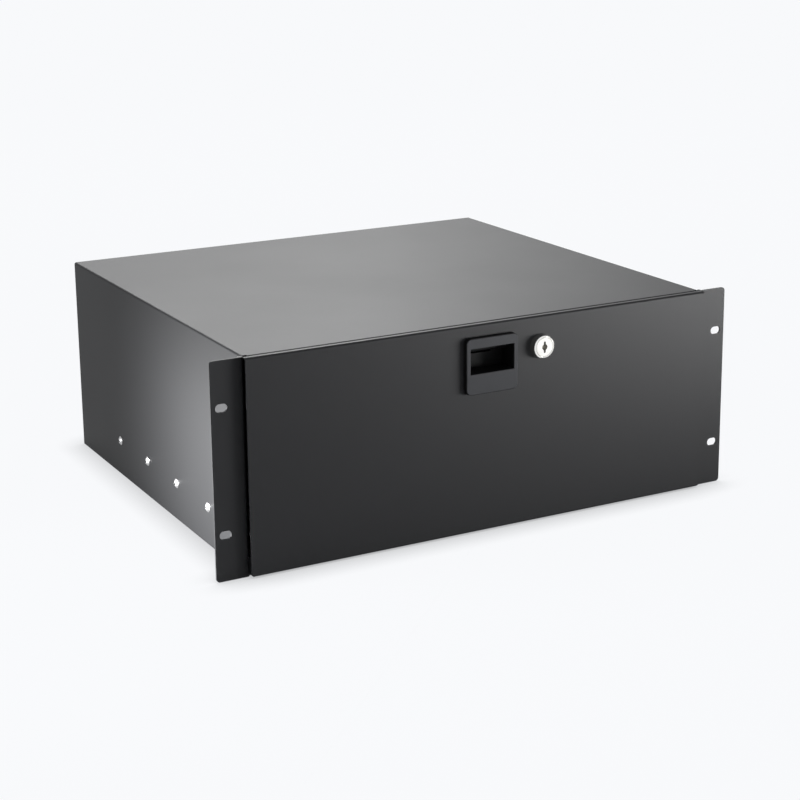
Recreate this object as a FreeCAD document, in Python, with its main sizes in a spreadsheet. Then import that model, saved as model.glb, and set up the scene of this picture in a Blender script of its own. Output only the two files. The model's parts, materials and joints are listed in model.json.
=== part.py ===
import FreeCAD
import Part
import Sketcher
import math
import os
from types import SimpleNamespace
from FreeCAD import Placement, Rotation, Vector

# Sliding drawer for a 19 inch rack, four rack units high.
# The frame: X to the right, Y towards the back, Z up. The origin lies on the front
# faces of the rack ears, in the middle of their four slots. All lengths are in mm.

SIZES = {
    # rack ears and their slots
    "ear_span": 482.6,
    "ear_tall": 176.6,
    "ear_corner": 3.0,
    "ear_wide": 27.05,
    "slot_edge": 8.75,
    "slot_rise": 101.6,
    "slot_long": 10.0,
    "slot_wide": 6.8,
    # housing sheet
    "body_over_ear": 0.4,
    "body_deep": 390.0,
    "sheet": 1.5,
    "ear_bend": 1.4,
    "edge_bend": 0.4,
    "corner_relief": 3.5,
    "lip_drop": 12.0,
    "pan_flange": 8.0,
    "pan_lip": 5.2,
    "pan_setback": 0.5,
    "rear_flange": 12.0,
    "rear_flange_start": 9.0,
    # slides
    "slide_rise": 32.2,
    "slide_setback": 14.0,
    "slide_back_room": 26.0,
    "slide_thick": 12.7,
    "slide_tall": 45.0,
    "member_wall": 1.2,
    "member_bend": 0.8,
    "ball_size": 4.76,
    "race_gap": 0.25,
    "rail_gap": 0.3,
    "inner_cage_gap": 0.35,
    "outer_ball_depth": 5.0,
    "inner_ball_depth": 7.3,
    "rail_lip": 0.5,
    "cage_sheet": 0.6,
    "cage_spare": 10.0,
    "ball_room": 0.15,
    "ball_end_room": 10.5,
    # rivets that hold the slides
    "rivet_first": 80.0,
    "rivet_pitch": 68.0,
    "rivet_head": 8.0,
    "rivet_dome": 1.9,
    "rivet_shank": 4.0,
    "mandrel_bore": 2.3,
    "mandrel_depth": 1.1,
    # tray
    "tray_sheet": 1.2,
    "tray_lift": 6.7,
    "tray_headroom": 26.7,
    "tray_back_dip": 12.0,
    "tray_back_room": 12.5,
    "tray_hem": 6.0,
    "tray_flange": 15.5,
    "tray_bend": 1.2,
    # drawer front
    "front_over_side": 0.15,
    "front_floor_gap": 1.4,
    "front_proud": 6.2,
    "front_sheet": 1.5,
    "front_return": 4.7,
    "front_corner": 3.0,
    "tab_tall": 15.5,
    "tab_reach": 4.2,
    # studs and nuts that join the front to the tray
    "stud_size": 4.0,
    "stud_long": 6.5,
    "stud_nut_flats": 7.0,
    "stud_nut_thick": 3.2,
    "side_stud_rise": 34.5,
    "side_stud_drop": 14.5,
    "floor_stud_step": 120.0,
    "stud_hole_room": 0.2,
    # latch
    "latch_drop": 33.7,
    "latch_wide": 49.2,
    "latch_tall": 47.6,
    "latch_corner": 5.0,
    "latch_proud": 4.3,
    "latch_draft": 6.0,
    "pull_wide": 40.7,
    "pull_tall": 21.1,
    "pull_rise": 17.6,
    "bezel_wall": 2.6,
    "bezel_edge": 0.55,
    "mouth_edge": 0.4,
    "latch_wall": 1.8,
    "box_back": 20.2,
    "box_headroom": 3.0,
    "rear_wall_front": 9.0,
    "rear_wall_rise": 11.8,
    "pivot_back": 4.0,
    "pivot_rise": 17.8,
    "pin_size": 3.0,
    "pin_gap": 0.05,
    "lever_thick": 2.5,
    "lever_reach": 10.5,
    "lever_wide": 37.0,
    "hub_size": 6.0,
    "hub_side_gap": 0.5,
    "tongue_wide": 18.0,
    "tongue_front": 7.0,
    "tongue_rise": 14.0,
    "tongue_flat": 1.0,
    "tongue_ramp": 4.5,
    "tongue_side_gap": 0.6,
    "lift_angle": 27.0,
    "spring_size": 4.6,
    "spring_wire": 0.7,
    "spring_turns": 3.0,
    "spring_gap": 0.15,
    "latch_screw_span": 30.0,
    "latch_screw_rise": 7.3,
    "screw_head": 5.6,
    "screw_head_thick": 2.0,
    "screw_size": 3.0,
    "screw_bite": 3.2,
    # strike for latch and lock
    "strike_front": 9.2,
    "strike_foot": 15.0,
    "strike_left": 16.0,
    "strike_right": 66.0,
    # lock
    "lock_side": 48.8,
    "lock_drop": 25.6,
    "lock_head": 21.0,
    "lock_face": 19.0,
    "lock_proud": 5.8,
    "barrel_size": 18.4,
    "barrel_flats": 16.0,
    "barrel_back": 10.6,
    "plug_face": 15.9,
    "plug_face_deep": 2.8,
    "plug_size": 12.1,
    "plug_gap": 0.08,
    "plug_edge": 0.35,
    "plug_shoulder": 0.5,
    "key_tall": 9.5,
    "key_wide": 1.8,
    "key_round": 5.0,
    "key_deep": 14.0,
    "cam_square": 7.0,
    "cam_wide": 16.0,
    "cam_reach": 21.0,
    "cam_thick": 2.5,
    "cam_nut_flats": 8.0,
    "cam_nut_thick": 3.0,
    "cam_stud": 5.0,
    "cam_stud_spare": 1.0,
    "washer_size": 23.6,
    "washer_thick": 0.8,
    "lock_nut_flats": 22.0,
    "lock_nut_thick": 3.5,
    "panel_room": 0.3,
    # tray stops and slide screws
    "stop_size": 12.0,
    "stop_side": 150.0,
    "stop_rise": 42.0,
    "stop_gap": 0.3,
    "slide_screw_first": 35.0,
    "slide_screw_head": 7.4,
    "slide_screw_thick": 2.4,
    "slide_screw_size": 4.0,
    "slide_screw_tip": 2.2,
}
# flat sides of the small pieces that repeat, which look round beside the rest
FASTENER_SIDES = 12
BALL_SIDES = 8
WIRE_SIDES = 4
COIL_SIDES = 12
STOP_SIDES = 24
WASHER_SIDES = 24

doc = FreeCAD.newDocument("rack_drawer")
sheet = doc.addObject("Spreadsheet::Sheet", "Sizes")
for row, (word, number) in enumerate(SIZES.items(), start=1):
    sheet.set(f"A{row}", word)
    sheet.set(f"B{row}", str(number))
    sheet.setAlias(f"B{row}", word)
doc.recompute()


class Size:
    """A size with its number and the formula that the document keeps for it."""

    def __init__(self, number, formula):
        self.number = float(number)
        self.formula = formula

    def __float__(self):
        return self.number

    def __neg__(self):
        return Size(-self.number, f"(-{self.formula})")

    def __add__(self, other):
        other = as_size(other)
        return Size(self.number + other.number, f"({self.formula} + {other.formula})")

    def __sub__(self, other):
        other = as_size(other)
        return Size(self.number - other.number, f"({self.formula} - {other.formula})")

    def __mul__(self, other):
        other = as_size(other)
        return Size(self.number * other.number, f"({self.formula} * {other.formula})")

    def __truediv__(self, other):
        other = as_size(other)
        return Size(self.number / other.number, f"({self.formula} / {other.formula})")

    def __rmul__(self, other):
        return as_size(other) * self

    def __radd__(self, other):
        return as_size(other) + self

    def __rsub__(self, other):
        return as_size(other) - self


def as_size(value):
    return value if isinstance(value, Size) else Size(value, str(value))


def sine(angle):
    angle = as_size(angle)
    return Size(math.sin(math.radians(angle.number)), f"sin({angle.formula} * 1deg)")


def cosine(angle):
    angle = as_size(angle)
    return Size(math.cos(math.radians(angle.number)), f"cos({angle.formula} * 1deg)")


def arc_cosine(ratio):
    return Size(math.degrees(math.acos(ratio.number)), f"(acos({ratio.formula}) / 1deg)")


size = SimpleNamespace(**{word: Size(sheet.get(word), f"Sizes.{word}") for word in SIZES})

# levels and faces that several pieces share
half_body = size.ear_span / 2 - size.ear_wide
side_inner = half_body - size.sheet
body_wide = half_body * 2
top_level = size.ear_tall / 2 + size.body_over_ear
top_inner = top_level - size.sheet
floor_level = -top_level
floor_inner = floor_level + size.sheet
ear_bend_out = size.ear_bend + size.sheet
rear_inner = size.body_deep - size.sheet
lip_bottom = top_level - size.lip_drop
tray_side = side_inner - size.slide_thick
tray_inner = tray_side - size.tray_sheet
tray_floor = floor_level + size.tray_lift
tray_floor_inner = tray_floor + size.tray_sheet
tray_side_top = top_level - size.tray_headroom
tray_back_top = tray_side_top - size.tray_back_dip
tray_back = rear_inner - size.tray_back_room
front_face = -size.front_proud
front_back = front_face + size.front_sheet
slide_level = floor_level + size.slide_rise
slide_long = size.body_deep - size.slide_setback - size.slide_back_room
slide_travel = slide_long
latch_face = front_face - size.latch_proud
latch_level = top_level - size.latch_drop
latch_bottom = latch_level - size.latch_tall / 2
pull_bottom = latch_bottom + size.pull_rise
pull_top = pull_bottom + size.pull_tall
pivot_level = pull_bottom + size.pivot_rise
box_top = latch_level + size.latch_tall / 2 - size.box_headroom
latch_screw_level = latch_bottom + size.latch_screw_rise
lock_level = top_level - size.lock_drop
box_bottom = pull_bottom - size.latch_wall
box_half = size.pull_wide / 2 + size.latch_wall
chamber_front = size.rear_wall_front + size.latch_wall
spring_back = chamber_front + size.spring_size / 2 + size.spring_gap
strike_back = size.strike_front + size.sheet
barrel_half = size.barrel_size / 2
cam_front = size.barrel_back + size.plug_shoulder
cam_back = cam_front + size.cam_thick
race = size.ball_size / 2 + size.race_gap

finished = []


# helpers for sketches and features

def keep(item, label):
    item.Label = label
    finished.append(item)
    return item


def bind(item, name, value):
    value = as_size(value)
    item.setExpression(name, value.formula)


def new_body(label):
    return keep(doc.addObject("PartDesign::Body", label), label)


def set_place(item, x=0, y=0, z=0, turn_axis=None, turn=0):
    x, y, z, turn = as_size(x), as_size(y), as_size(z), as_size(turn)
    axis = turn_axis or Vector(0, 0, 1)
    item.Placement = Placement(Vector(x.number, y.number, z.number), Rotation(axis, turn.number))
    for letter, value in (("x", x), ("y", y), ("z", z)):
        bind(item, f"Placement.Base.{letter}", value)
    if turn_axis and "Sizes" in turn.formula:
        item.setExpression("Placement.Rotation.Angle", f"{turn.formula} * 1deg")


def origin_feature(body, role):
    return next(item for item in body.Origin.OriginFeatures if item.Role == role)


def new_sketch(body, plane, height=0):
    """Sketch on one of the body's own origin planes, lifted along the plane's normal."""
    sketch = body.newObject("Sketcher::SketchObject", f"{body.Name}_sketch")
    sketch.AttachmentSupport = [(origin_feature(body, plane), "")]
    sketch.MapMode = "FlatFace"
    height = as_size(height)
    sketch.AttachmentOffset = Placement(Vector(0, 0, height.number), Rotation())
    bind(sketch, "AttachmentOffset.Base.z", height)
    return sketch


def front_sketch(body, y=0):
    """Sketch seen from the front: across is X, up is Z. The plane's normal points to the front."""
    return new_sketch(body, "XZ_Plane", -as_size(y))


def side_sketch(body, x=0):
    """Sketch seen from the right: across is Y, up is Z."""
    return new_sketch(body, "YZ_Plane", x)


def plan_sketch(body, z=0):
    """Sketch seen from above: across is X, up is Y."""
    return new_sketch(body, "XY_Plane", z)


def fix_distance(sketch, geometry, end, value, level):
    """Hold a point at a height over the sketch's level axis, or at a distance from its other one."""
    value = as_size(value)
    if value.formula == "0":
        axis = -1 if level else -2
        sketch.addConstraint(Sketcher.Constraint("PointOnObject", geometry, end, axis))
        return
    kind = "DistanceY" if level else "DistanceX"
    index = sketch.addConstraint(Sketcher.Constraint(kind, -1, 1, geometry, end, value.number))
    bind(sketch, f"Constraints[{index}]", value)


def fix_point(sketch, geometry, end, x, y):
    fix_distance(sketch, geometry, end, x, False)
    fix_distance(sketch, geometry, end, y, True)


def fix_radius(sketch, geometry, radius):
    radius = as_size(radius)
    index = sketch.addConstraint(Sketcher.Constraint("Radius", geometry, radius.number))
    bind(sketch, f"Constraints[{index}]", radius)


def arc_run(x, y, radius, turn):
    """The run to the next corner is an arc about (x, y): turn is 1 anticlockwise, -1 clockwise."""
    return SimpleNamespace(x=as_size(x), y=as_size(y), radius=as_size(radius), turn=turn)


def draw_outline(sketch, corners):
    """Closed outline. Each corner is (x, y) with a straight run to the next, or (x, y, arc_run)."""
    corners = [corner if len(corner) == 3 else (*corner, None) for corner in corners]
    runs = []
    for index, (x, y, arc) in enumerate(corners):
        next_x, next_y, _ = corners[(index + 1) % len(corners)]
        start = Vector(float(x), float(y), 0)
        finish = Vector(float(next_x), float(next_y), 0)
        if arc is None:
            runs.append((sketch.addGeometry(Part.LineSegment(start, finish)), 1, 2))
            continue
        middle = Vector(arc.x.number, arc.y.number, 0)
        low, high = (start, finish) if arc.turn > 0 else (finish, start)
        first = math.atan2(low.y - middle.y, low.x - middle.x)
        last = math.atan2(high.y - middle.y, high.x - middle.x)
        if last <= first:
            last += 2 * math.pi
        circle = Part.Circle(middle, Vector(0, 0, 1), arc.radius.number)
        ends = (1, 2) if arc.turn > 0 else (2, 1)
        runs.append((sketch.addGeometry(Part.ArcOfCircle(circle, first, last)), *ends))
    for index, (geometry, _, end) in enumerate(runs):
        follower, start, _ = runs[(index + 1) % len(runs)]
        sketch.addConstraint(Sketcher.Constraint("Coincident", geometry, end, follower, start))
    for index, ((geometry, start, _), (x, y, arc)) in enumerate(zip(runs, corners)):
        fix_point(sketch, geometry, start, x, y)
        if arc is not None:
            next_x, next_y, _ = corners[(index + 1) % len(corners)]
            chord_level = abs(float(next_x) - float(x)) > abs(float(next_y) - float(y))
            middle = arc.y if chord_level else arc.x
            fix_distance(sketch, geometry, 3, middle, chord_level)


def draw_circle(sketch, x, y, radius):
    x, y, radius = as_size(x), as_size(y), as_size(radius)
    circle = Part.Circle(Vector(x.number, y.number, 0), Vector(0, 0, 1), radius.number)
    index = sketch.addGeometry(circle)
    fix_point(sketch, index, 3, x, y)
    fix_radius(sketch, index, radius)


def draw_fastener_hole(sketch, x, y, radius):
    """Hole for a small fastener that fills it, with as many flat sides as the fastener."""
    turns = [360 * k / FASTENER_SIDES for k in range(FASTENER_SIDES)]
    draw_outline(sketch, [(x + radius * cosine(turn), y + radius * sine(turn))
                          for turn in turns])


def box_corners(left, right, bottom, top):
    return [(left, bottom), (right, bottom), (right, top), (left, top)]


def rounded_corners(left, right, bottom, top, radius):
    """Corners of an upright rectangle whose corners are arcs."""
    left, right, bottom, top = map(as_size, (left, right, bottom, top))
    return [
        (left + radius, bottom),
        (right - radius, bottom, arc_run(right - radius, bottom + radius, radius, 1)),
        (right, bottom + radius),
        (right, top - radius, arc_run(right - radius, top - radius, radius, 1)),
        (right - radius, top),
        (left + radius, top, arc_run(left + radius, top - radius, radius, 1)),
        (left, top - radius),
        (left, bottom + radius, arc_run(left + radius, bottom + radius, radius, 1)),
    ]


def draw_slot(sketch, x, y, long, wide):
    """Level slot with round ends, centred on (x, y)."""
    half = (as_size(long) - wide) / 2
    radius = as_size(wide) / 2
    draw_outline(sketch, [
        (x - half, y - radius),
        (x + half, y - radius, arc_run(x + half, y, radius, 1)),
        (x + half, y + radius),
        (x - half, y + radius, arc_run(x - half, y, radius, 1)),
    ])


def check_sketch(sketch):
    if sketch.solve() != 0 or not sketch.FullyConstrained:
        raise RuntimeError(f"{sketch.Name} isn't fully held by its sizes")


def pad(body, sketch, length, toward_normal=True, both_ways=False, draft=None):
    check_sketch(sketch)
    item = body.newObject("PartDesign::Pad", f"{body.Name}_pad")
    item.Profile = sketch
    bind(item, "Length", length)
    item.Reversed = not toward_normal
    if both_ways:
        item.SideType = "Symmetric"
    if draft is not None:
        bind(item, "TaperAngle", -draft)
    doc.recompute()
    return item


def cut(body, sketch, length=None, toward_normal=True, both_ways=False):
    """Pocket that must take material away; with no length it goes right through."""
    check_sketch(sketch)
    before = body.Shape.Volume
    item = body.newObject("PartDesign::Pocket", f"{body.Name}_pocket")
    item.Profile = sketch
    if length is None:
        item.Type = "ThroughAll"
    else:
        bind(item, "Length", length)
    item.Reversed = toward_normal
    if both_ways:
        item.SideType = "Symmetric"
    doc.recompute()
    if body.Shape.Volume >= before:
        raise RuntimeError(f"{item.Name} cuts nothing")
    return item


def revolve(body, sketch, axis_role):
    check_sketch(sketch)
    item = body.newObject("PartDesign::Revolution", f"{body.Name}_turned")
    item.Profile = sketch
    item.ReferenceAxis = (origin_feature(body, axis_role), [""])
    item.Angle = 360
    doc.recompute()
    return item


def round_edges(body, radius, chosen):
    """Fillet on the edges of the body that the given test picks."""
    base = body.Tip
    names = [f"Edge{number}" for number, edge in enumerate(base.Shape.Edges, start=1) if chosen(edge)]
    item = body.newObject("PartDesign::Fillet", f"{body.Name}_round")
    item.Base = (base, names)
    bind(item, "Radius", radius)
    doc.recompute()
    return item


def bevel_edges(body, reach, chosen):
    """Chamfer on the edges of the body that the given test picks."""
    base = body.Tip
    names = [f"Edge{number}" for number, edge in enumerate(base.Shape.Edges, start=1) if chosen(edge)]
    item = body.newObject("PartDesign::Chamfer", f"{body.Name}_bevel")
    item.Base = (base, names)
    bind(item, "Size", reach)
    doc.recompute()
    return item


def group(label, solids):
    """Several loose solids of one kind, kept as one piece of the parts list."""
    item = doc.addObject("Part::Feature", label)
    item.Shape = Part.makeCompound(solids)
    item.Placement = Placement()
    return keep(item, label)


def turned(points, base, axis, sides=FASTENER_SIDES):
    """Small turned piece with flat sides: radius and height pairs from the axis round to it."""
    turns = [2 * math.pi * k / sides for k in range(sides + 1)]
    rings = [[Vector(radius * math.cos(turn), radius * math.sin(turn), height) for turn in turns]
             for radius, height in points]
    faces = []
    for (low_radius, _), (high_radius, _), low, high in zip(points, points[1:], rings, rings[1:]):
        for k in range(sides):
            corners = [low[k]] + ([low[k + 1]] if low_radius else [])
            corners += [high[k + 1]] + ([high[k]] if high_radius else [])
            if len(corners) > 2:
                faces.append(Part.Face(Part.makePolygon(corners + corners[:1])))
    solid = Part.makeSolid(Part.makeShell(faces)).removeSplitter()
    if solid.Volume < 0:
        solid.reverse()
    solid.Placement = Placement(base, Rotation(Vector(0, 0, 1), axis))
    return solid


def hex_nut(flats, thick, bore, base, axis):
    corner = float(flats) / 2 / math.cos(math.pi / 6)
    points = [Vector(corner * math.cos(k * math.pi / 3), corner * math.sin(k * math.pi / 3), 0)
              for k in range(7)]
    solid = Part.Face(Part.makePolygon(points)).extrude(Vector(0, 0, float(thick)))
    turns = [2 * math.pi * k / FASTENER_SIDES for k in range(FASTENER_SIDES + 1)]
    hole = Part.makePolygon([Vector(bore * math.cos(turn), bore * math.sin(turn), 0)
                             for turn in turns])
    solid = solid.cut(Part.Face(hole).extrude(Vector(0, 0, float(thick))))
    solid.Placement = Placement(base, Rotation(Vector(0, 0, 1), axis))
    return solid


# housing

def bent_channel(half_outer, low, high, wall, bend, floor_up):
    """Corners of a folded U of sheet seen from the front; floor_up closes it at the top."""
    out = bend + wall
    inner = half_outer - wall
    sign = 1 if floor_up else -1
    base, rim = (high, low) if floor_up else (low, high)
    inner_base = base - sign * wall
    return [
        (-half_outer, rim),
        (-half_outer, base - sign * out, arc_run(out - half_outer, base - sign * out, out, -sign)),
        (out - half_outer, base),
        (half_outer - out, base, arc_run(half_outer - out, base - sign * out, out, -sign)),
        (half_outer, base - sign * out),
        (half_outer, rim),
        (inner, rim),
        (inner, inner_base - sign * bend, arc_run(inner - bend, inner_base - sign * bend, bend, sign)),
        (inner - bend, inner_base),
        (bend - inner, inner_base, arc_run(bend - inner, inner_base - sign * bend, bend, sign)),
        (-inner, inner_base - sign * bend),
        (-inner, rim),
    ]


def rivet_places():
    return [size.rivet_first + size.rivet_pitch * k for k in range(4)]


def make_housing_wrap():
    """Top, both sides and both rack ears, folded from one sheet."""
    body = new_body("housing_wrap")
    shell = front_sketch(body, ear_bend_out)
    draw_outline(shell, bent_channel(
        half_body, floor_level, top_level, size.sheet, size.edge_bend, floor_up=True))
    pad(body, shell, size.body_deep - ear_bend_out, toward_normal=False)

    # the ears and their bends at the front edges of the sides
    bend_middle = side_inner + ear_bend_out
    ears = plan_sketch(body)
    for hand in (1, -1):
        draw_outline(ears, [
            (hand * size.ear_span / 2, 0),
            (hand * size.ear_span / 2, size.sheet),
            (hand * bend_middle, size.sheet,
             arc_run(hand * bend_middle, ear_bend_out, size.ear_bend, hand)),
            (hand * half_body, ear_bend_out),
            (hand * side_inner, ear_bend_out,
             arc_run(hand * bend_middle, ear_bend_out, ear_bend_out, hand)),
            (hand * bend_middle, 0),
        ])
    pad(body, ears, size.ear_tall, both_ways=True)

    # the top's front lip, folded down
    out = size.edge_bend + size.sheet
    lip = side_sketch(body)
    draw_outline(lip, [
        (ear_bend_out, top_level),
        (out, top_level, arc_run(out, top_level - out, out, 1)),
        (0, top_level - out),
        (0, lip_bottom),
        (size.sheet, lip_bottom),
        (size.sheet, top_level - out, arc_run(out, top_level - out, size.edge_bend, -1)),
        (out, top_inner),
        (ear_bend_out, top_inner),
    ])
    pad(body, lip, (side_inner - size.corner_relief) * 2, both_ways=True)

    slots = front_sketch(body)
    for hand in (1, -1):
        for level in (1, -1):
            draw_slot(slots, hand * (size.ear_span / 2 - size.slot_edge), level * size.slot_rise / 2,
                      size.slot_long, size.slot_wide)
    cut(body, slots, size.sheet * 2, both_ways=True)

    holes = side_sketch(body)
    for place in rivet_places():
        draw_fastener_hole(holes, place, slide_level, size.rivet_shank / 2)
    cut(body, holes, body_wide * 2, both_ways=True)

    corner_x = float(size.ear_span) / 2
    round_edges(body, size.ear_corner, lambda edge: (
        abs(abs(edge.CenterOfMass.x) - corner_x) < 0.01 and abs(edge.Length - float(size.sheet)) < 0.01))
    return body


def make_bottom_pan():
    """Floor of the housing with turned-up sides and a low front lip."""
    body = new_body("bottom_pan")
    out = size.edge_bend + size.sheet
    start = size.pan_setback + out
    shell = front_sketch(body, start)
    draw_outline(shell, bent_channel(
        side_inner, floor_level, floor_level + size.pan_flange, size.sheet, size.edge_bend,
        floor_up=False))
    pad(body, shell, rear_inner - start, toward_normal=False)
    lip = side_sketch(body)
    draw_outline(lip, [
        (start, floor_level),
        (start, floor_inner, arc_run(start, floor_level + out, size.edge_bend, -1)),
        (size.pan_setback + size.sheet, floor_level + out),
        (size.pan_setback + size.sheet, floor_level + size.pan_lip),
        (size.pan_setback, floor_level + size.pan_lip),
        (size.pan_setback, floor_level + out, arc_run(start, floor_level + out, out, 1)),
    ])
    pad(body, lip, (side_inner - size.corner_relief) * 2, both_ways=True)
    return body


def make_rear_panel():
    """Plain back with two flanges that lie on the sides."""
    body = new_body("rear_panel")
    out = size.edge_bend + size.sheet
    inner = side_inner - size.sheet
    front = rear_inner - size.rear_flange
    low = floor_level + size.rear_flange_start
    shell = plan_sketch(body, low)
    draw_outline(shell, [
        (-side_inner, front),
        (size.sheet - side_inner, front),
        (-inner, rear_inner - size.edge_bend,
         arc_run(size.edge_bend - inner, rear_inner - size.edge_bend, size.edge_bend, -1)),
        (size.edge_bend - inner, rear_inner),
        (inner - size.edge_bend, rear_inner,
         arc_run(inner - size.edge_bend, rear_inner - size.edge_bend, size.edge_bend, -1)),
        (inner, rear_inner - size.edge_bend),
        (inner, front),
        (side_inner, front),
        (side_inner, size.body_deep - out, arc_run(side_inner - out, size.body_deep - out, out, 1)),
        (side_inner - out, size.body_deep),
        (out - side_inner, size.body_deep, arc_run(out - side_inner, size.body_deep - out, out, 1)),
        (-side_inner, size.body_deep - out),
    ])
    pad(body, shell, top_inner - size.edge_bend - low)
    strip = front_sketch(body, rear_inner)
    draw_outline(strip, box_corners(out - side_inner, side_inner - out, floor_level, low))
    pad(body, strip, size.sheet, toward_normal=False)
    return body


def make_latch_strike():
    """Angle under the top that the latch tongue and the lock cam hold behind."""
    body = new_body("latch_strike")
    out = size.edge_bend + size.sheet
    middle_y = size.strike_front + out
    profile = side_sketch(body, -size.strike_left)
    draw_outline(profile, [
        (size.strike_front, lip_bottom),
        (strike_back, lip_bottom),
        (strike_back, top_inner - out, arc_run(middle_y, top_inner - out, size.edge_bend, -1)),
        (middle_y, top_inner - size.sheet),
        (size.strike_front + size.strike_foot, top_inner - size.sheet),
        (size.strike_front + size.strike_foot, top_inner),
        (middle_y, top_inner, arc_run(middle_y, top_inner - out, out, 1)),
        (size.strike_front, top_inner - out),
    ])
    pad(body, profile, size.strike_left + size.strike_right)
    return body


def make_rivets(side, hand):
    """Domed blind rivets through the side of the housing and the slide behind it."""
    head = float(size.rivet_head) / 2
    dome = float(size.rivet_dome)
    bore = float(size.mandrel_bore) / 2
    floor = dome - float(size.mandrel_depth)
    ball = (head ** 2 + dome ** 2) / (2 * dome)
    rise = lambda radius: math.sqrt(ball ** 2 - radius ** 2) + dome - ball
    shank = float(size.rivet_shank) / 2
    grip = float(size.sheet + size.member_wall)
    middle = (head * 2 + bore) / 3
    profile = [(0, floor), (bore, floor), (bore, rise(bore)), (middle, rise(middle)), (head, 0),
               (shank, 0), (shank, -grip), (0, -grip)]
    solids = [turned(profile, Vector(hand * float(half_body), float(place), float(slide_level)),
                     Vector(hand, 0, 0)) for place in rivet_places()]
    return group(f"slide_rivets_{side}", solids)


def make_stops():
    """Rubber stops on the back that the closed tray meets."""
    radius = float(size.stop_size) / 2
    long = float(rear_inner - tray_back - size.stop_gap)
    edge = radius / 6
    profile = [(0, 0), (radius, 0), (radius, long - edge), (radius - edge, long), (0, long)]
    solids = [turned(profile, Vector(hand * float(size.stop_side), float(rear_inner),
                                     float(tray_floor + size.stop_rise)), Vector(0, -1, 0),
                     STOP_SIDES)
              for hand in (-1, 1)]
    return group("tray_stops", solids)


# slides: depth runs from the housing side inwards, rise from the slide's middle line

outer_ball_rise = size.slide_tall / 2 - size.member_wall - race
race_out = race + size.member_wall
ball_drop_angle = arc_cosine((size.inner_ball_depth - size.outer_ball_depth) / (race + race_out))
inner_ball_rise = outer_ball_rise - (race + race_out) * sine(ball_drop_angle)


def around(depth, rise, radius, angle):
    return depth + radius * cosine(angle), rise + radius * sine(angle)


def outer_ball_arc(radius, turn):
    return arc_run(size.outer_ball_depth, outer_ball_rise, radius, turn)


def inner_ball_arc(radius, turn):
    return arc_run(size.inner_ball_depth, inner_ball_rise, radius, turn)


def whole_section(upper, hand):
    """Full section from its upper half, on the left (1) or the right (-1) side."""
    upper = [corner if len(corner) == 3 else (*corner, None) for corner in upper]
    corners = list(upper)
    for index in range(len(upper) - 1, -1, -1):
        arc = upper[index - 1][2] if index > 0 else None
        if arc is not None:
            arc = arc_run(arc.x, -arc.y, arc.radius, arc.turn)
        corners.append((upper[index][0], -as_size(upper[index][1]), arc))
    placed = []
    for depth, rise, arc in corners:
        if arc is not None:
            arc = arc_run(hand * (arc.x - side_inner), arc.y, arc.radius, hand * arc.turn)
        placed.append((hand * (as_size(depth) - side_inner), rise, arc))
    return placed


def new_member(label, upper, hand, start, long):
    """Length of rolled section at the height of the slides."""
    body = new_body(label)
    section = front_sketch(body)
    draw_outline(section, whole_section(upper, hand))
    pad(body, section, long, toward_normal=False)
    set_place(body, 0, start, slide_level)
    return body


def cabinet_section():
    top = size.slide_tall / 2
    out = size.member_bend + size.member_wall
    depth = size.outer_ball_depth
    lip = outer_ball_rise - size.rail_lip
    return [
        (0, top - out, arc_run(out, top - out, out, -1)),
        (out, top),
        (depth, top, outer_ball_arc(race_out, -1)),
        (depth + race_out, outer_ball_rise),
        (depth + race_out, lip),
        (depth + race, lip),
        (depth + race, outer_ball_rise, outer_ball_arc(race, 1)),
        (depth, top - size.member_wall),
        (out, top - size.member_wall, arc_run(out, top - out, size.member_bend, 1)),
        (size.member_wall, top - out),
    ]


cage_web = size.member_wall + size.rail_gap
middle_web = cage_web + size.cage_sheet + size.rail_gap
middle_web_inner = middle_web + size.member_wall
inner_cage_web = middle_web_inner + size.inner_cage_gap
drawer_web = size.slide_thick - size.member_wall
GROOVE_LEFT = 255


def middle_section():
    """S-shaped rail: the groove under the outer balls runs on as the roof over the inner balls."""
    lift = size.outer_ball_depth
    turn_down = 360 - ball_drop_angle
    turn_back = 180 - ball_drop_angle
    shoulder = size.member_wall + size.edge_bend
    groove = around(lift, outer_ball_rise, race, GROOVE_LEFT)
    under = around(lift, outer_ball_rise, race_out, GROOVE_LEFT)
    bend_rise = groove[1] - shoulder
    crest = around(lift, outer_ball_rise, race, turn_down)
    trough = around(size.inner_ball_depth, inner_ball_rise, race, turn_back)
    far = size.inner_ball_depth
    lip = inner_ball_rise - size.rail_lip
    return [
        (middle_web, bend_rise, arc_run(middle_web + shoulder, bend_rise, shoulder, -1)),
        (middle_web + shoulder, bend_rise + shoulder),
        (*groove, outer_ball_arc(race, 1)),
        (*crest, inner_ball_arc(race_out, -1)),
        (far + race_out, inner_ball_rise),
        (far + race_out, lip),
        (far + race, lip),
        (far + race, inner_ball_rise, inner_ball_arc(race, 1)),
        (*trough, outer_ball_arc(race_out, -1)),
        (*under, None),
        (middle_web_inner, bend_rise),
    ]


def drawer_section():
    """Rail on the tray: a shallow groove under the inner balls."""
    depth = size.inner_ball_depth
    left, right = 235, 300
    groove_right = around(depth, inner_ball_rise, race, right)
    groove_left = around(depth, inner_ball_rise, race, left)
    under_left = around(depth, inner_ball_rise, race_out, left)
    under_right = around(depth, inner_ball_rise, race_out, right)
    out = size.member_wall + size.edge_bend
    top = groove_right[1]
    return [
        (size.slide_thick, top - out, arc_run(size.slide_thick - out, top - out, out, 1)),
        (size.slide_thick - out, top),
        (*groove_right, inner_ball_arc(race, -1)),
        (*groove_left, None),
        (*under_left, inner_ball_arc(race_out, 1)),
        (*under_right, None),
        (size.slide_thick - out, top - size.member_wall,
         arc_run(size.slide_thick - out, top - out, size.edge_bend, -1)),
        (drawer_web, top - out),
    ]


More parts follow.
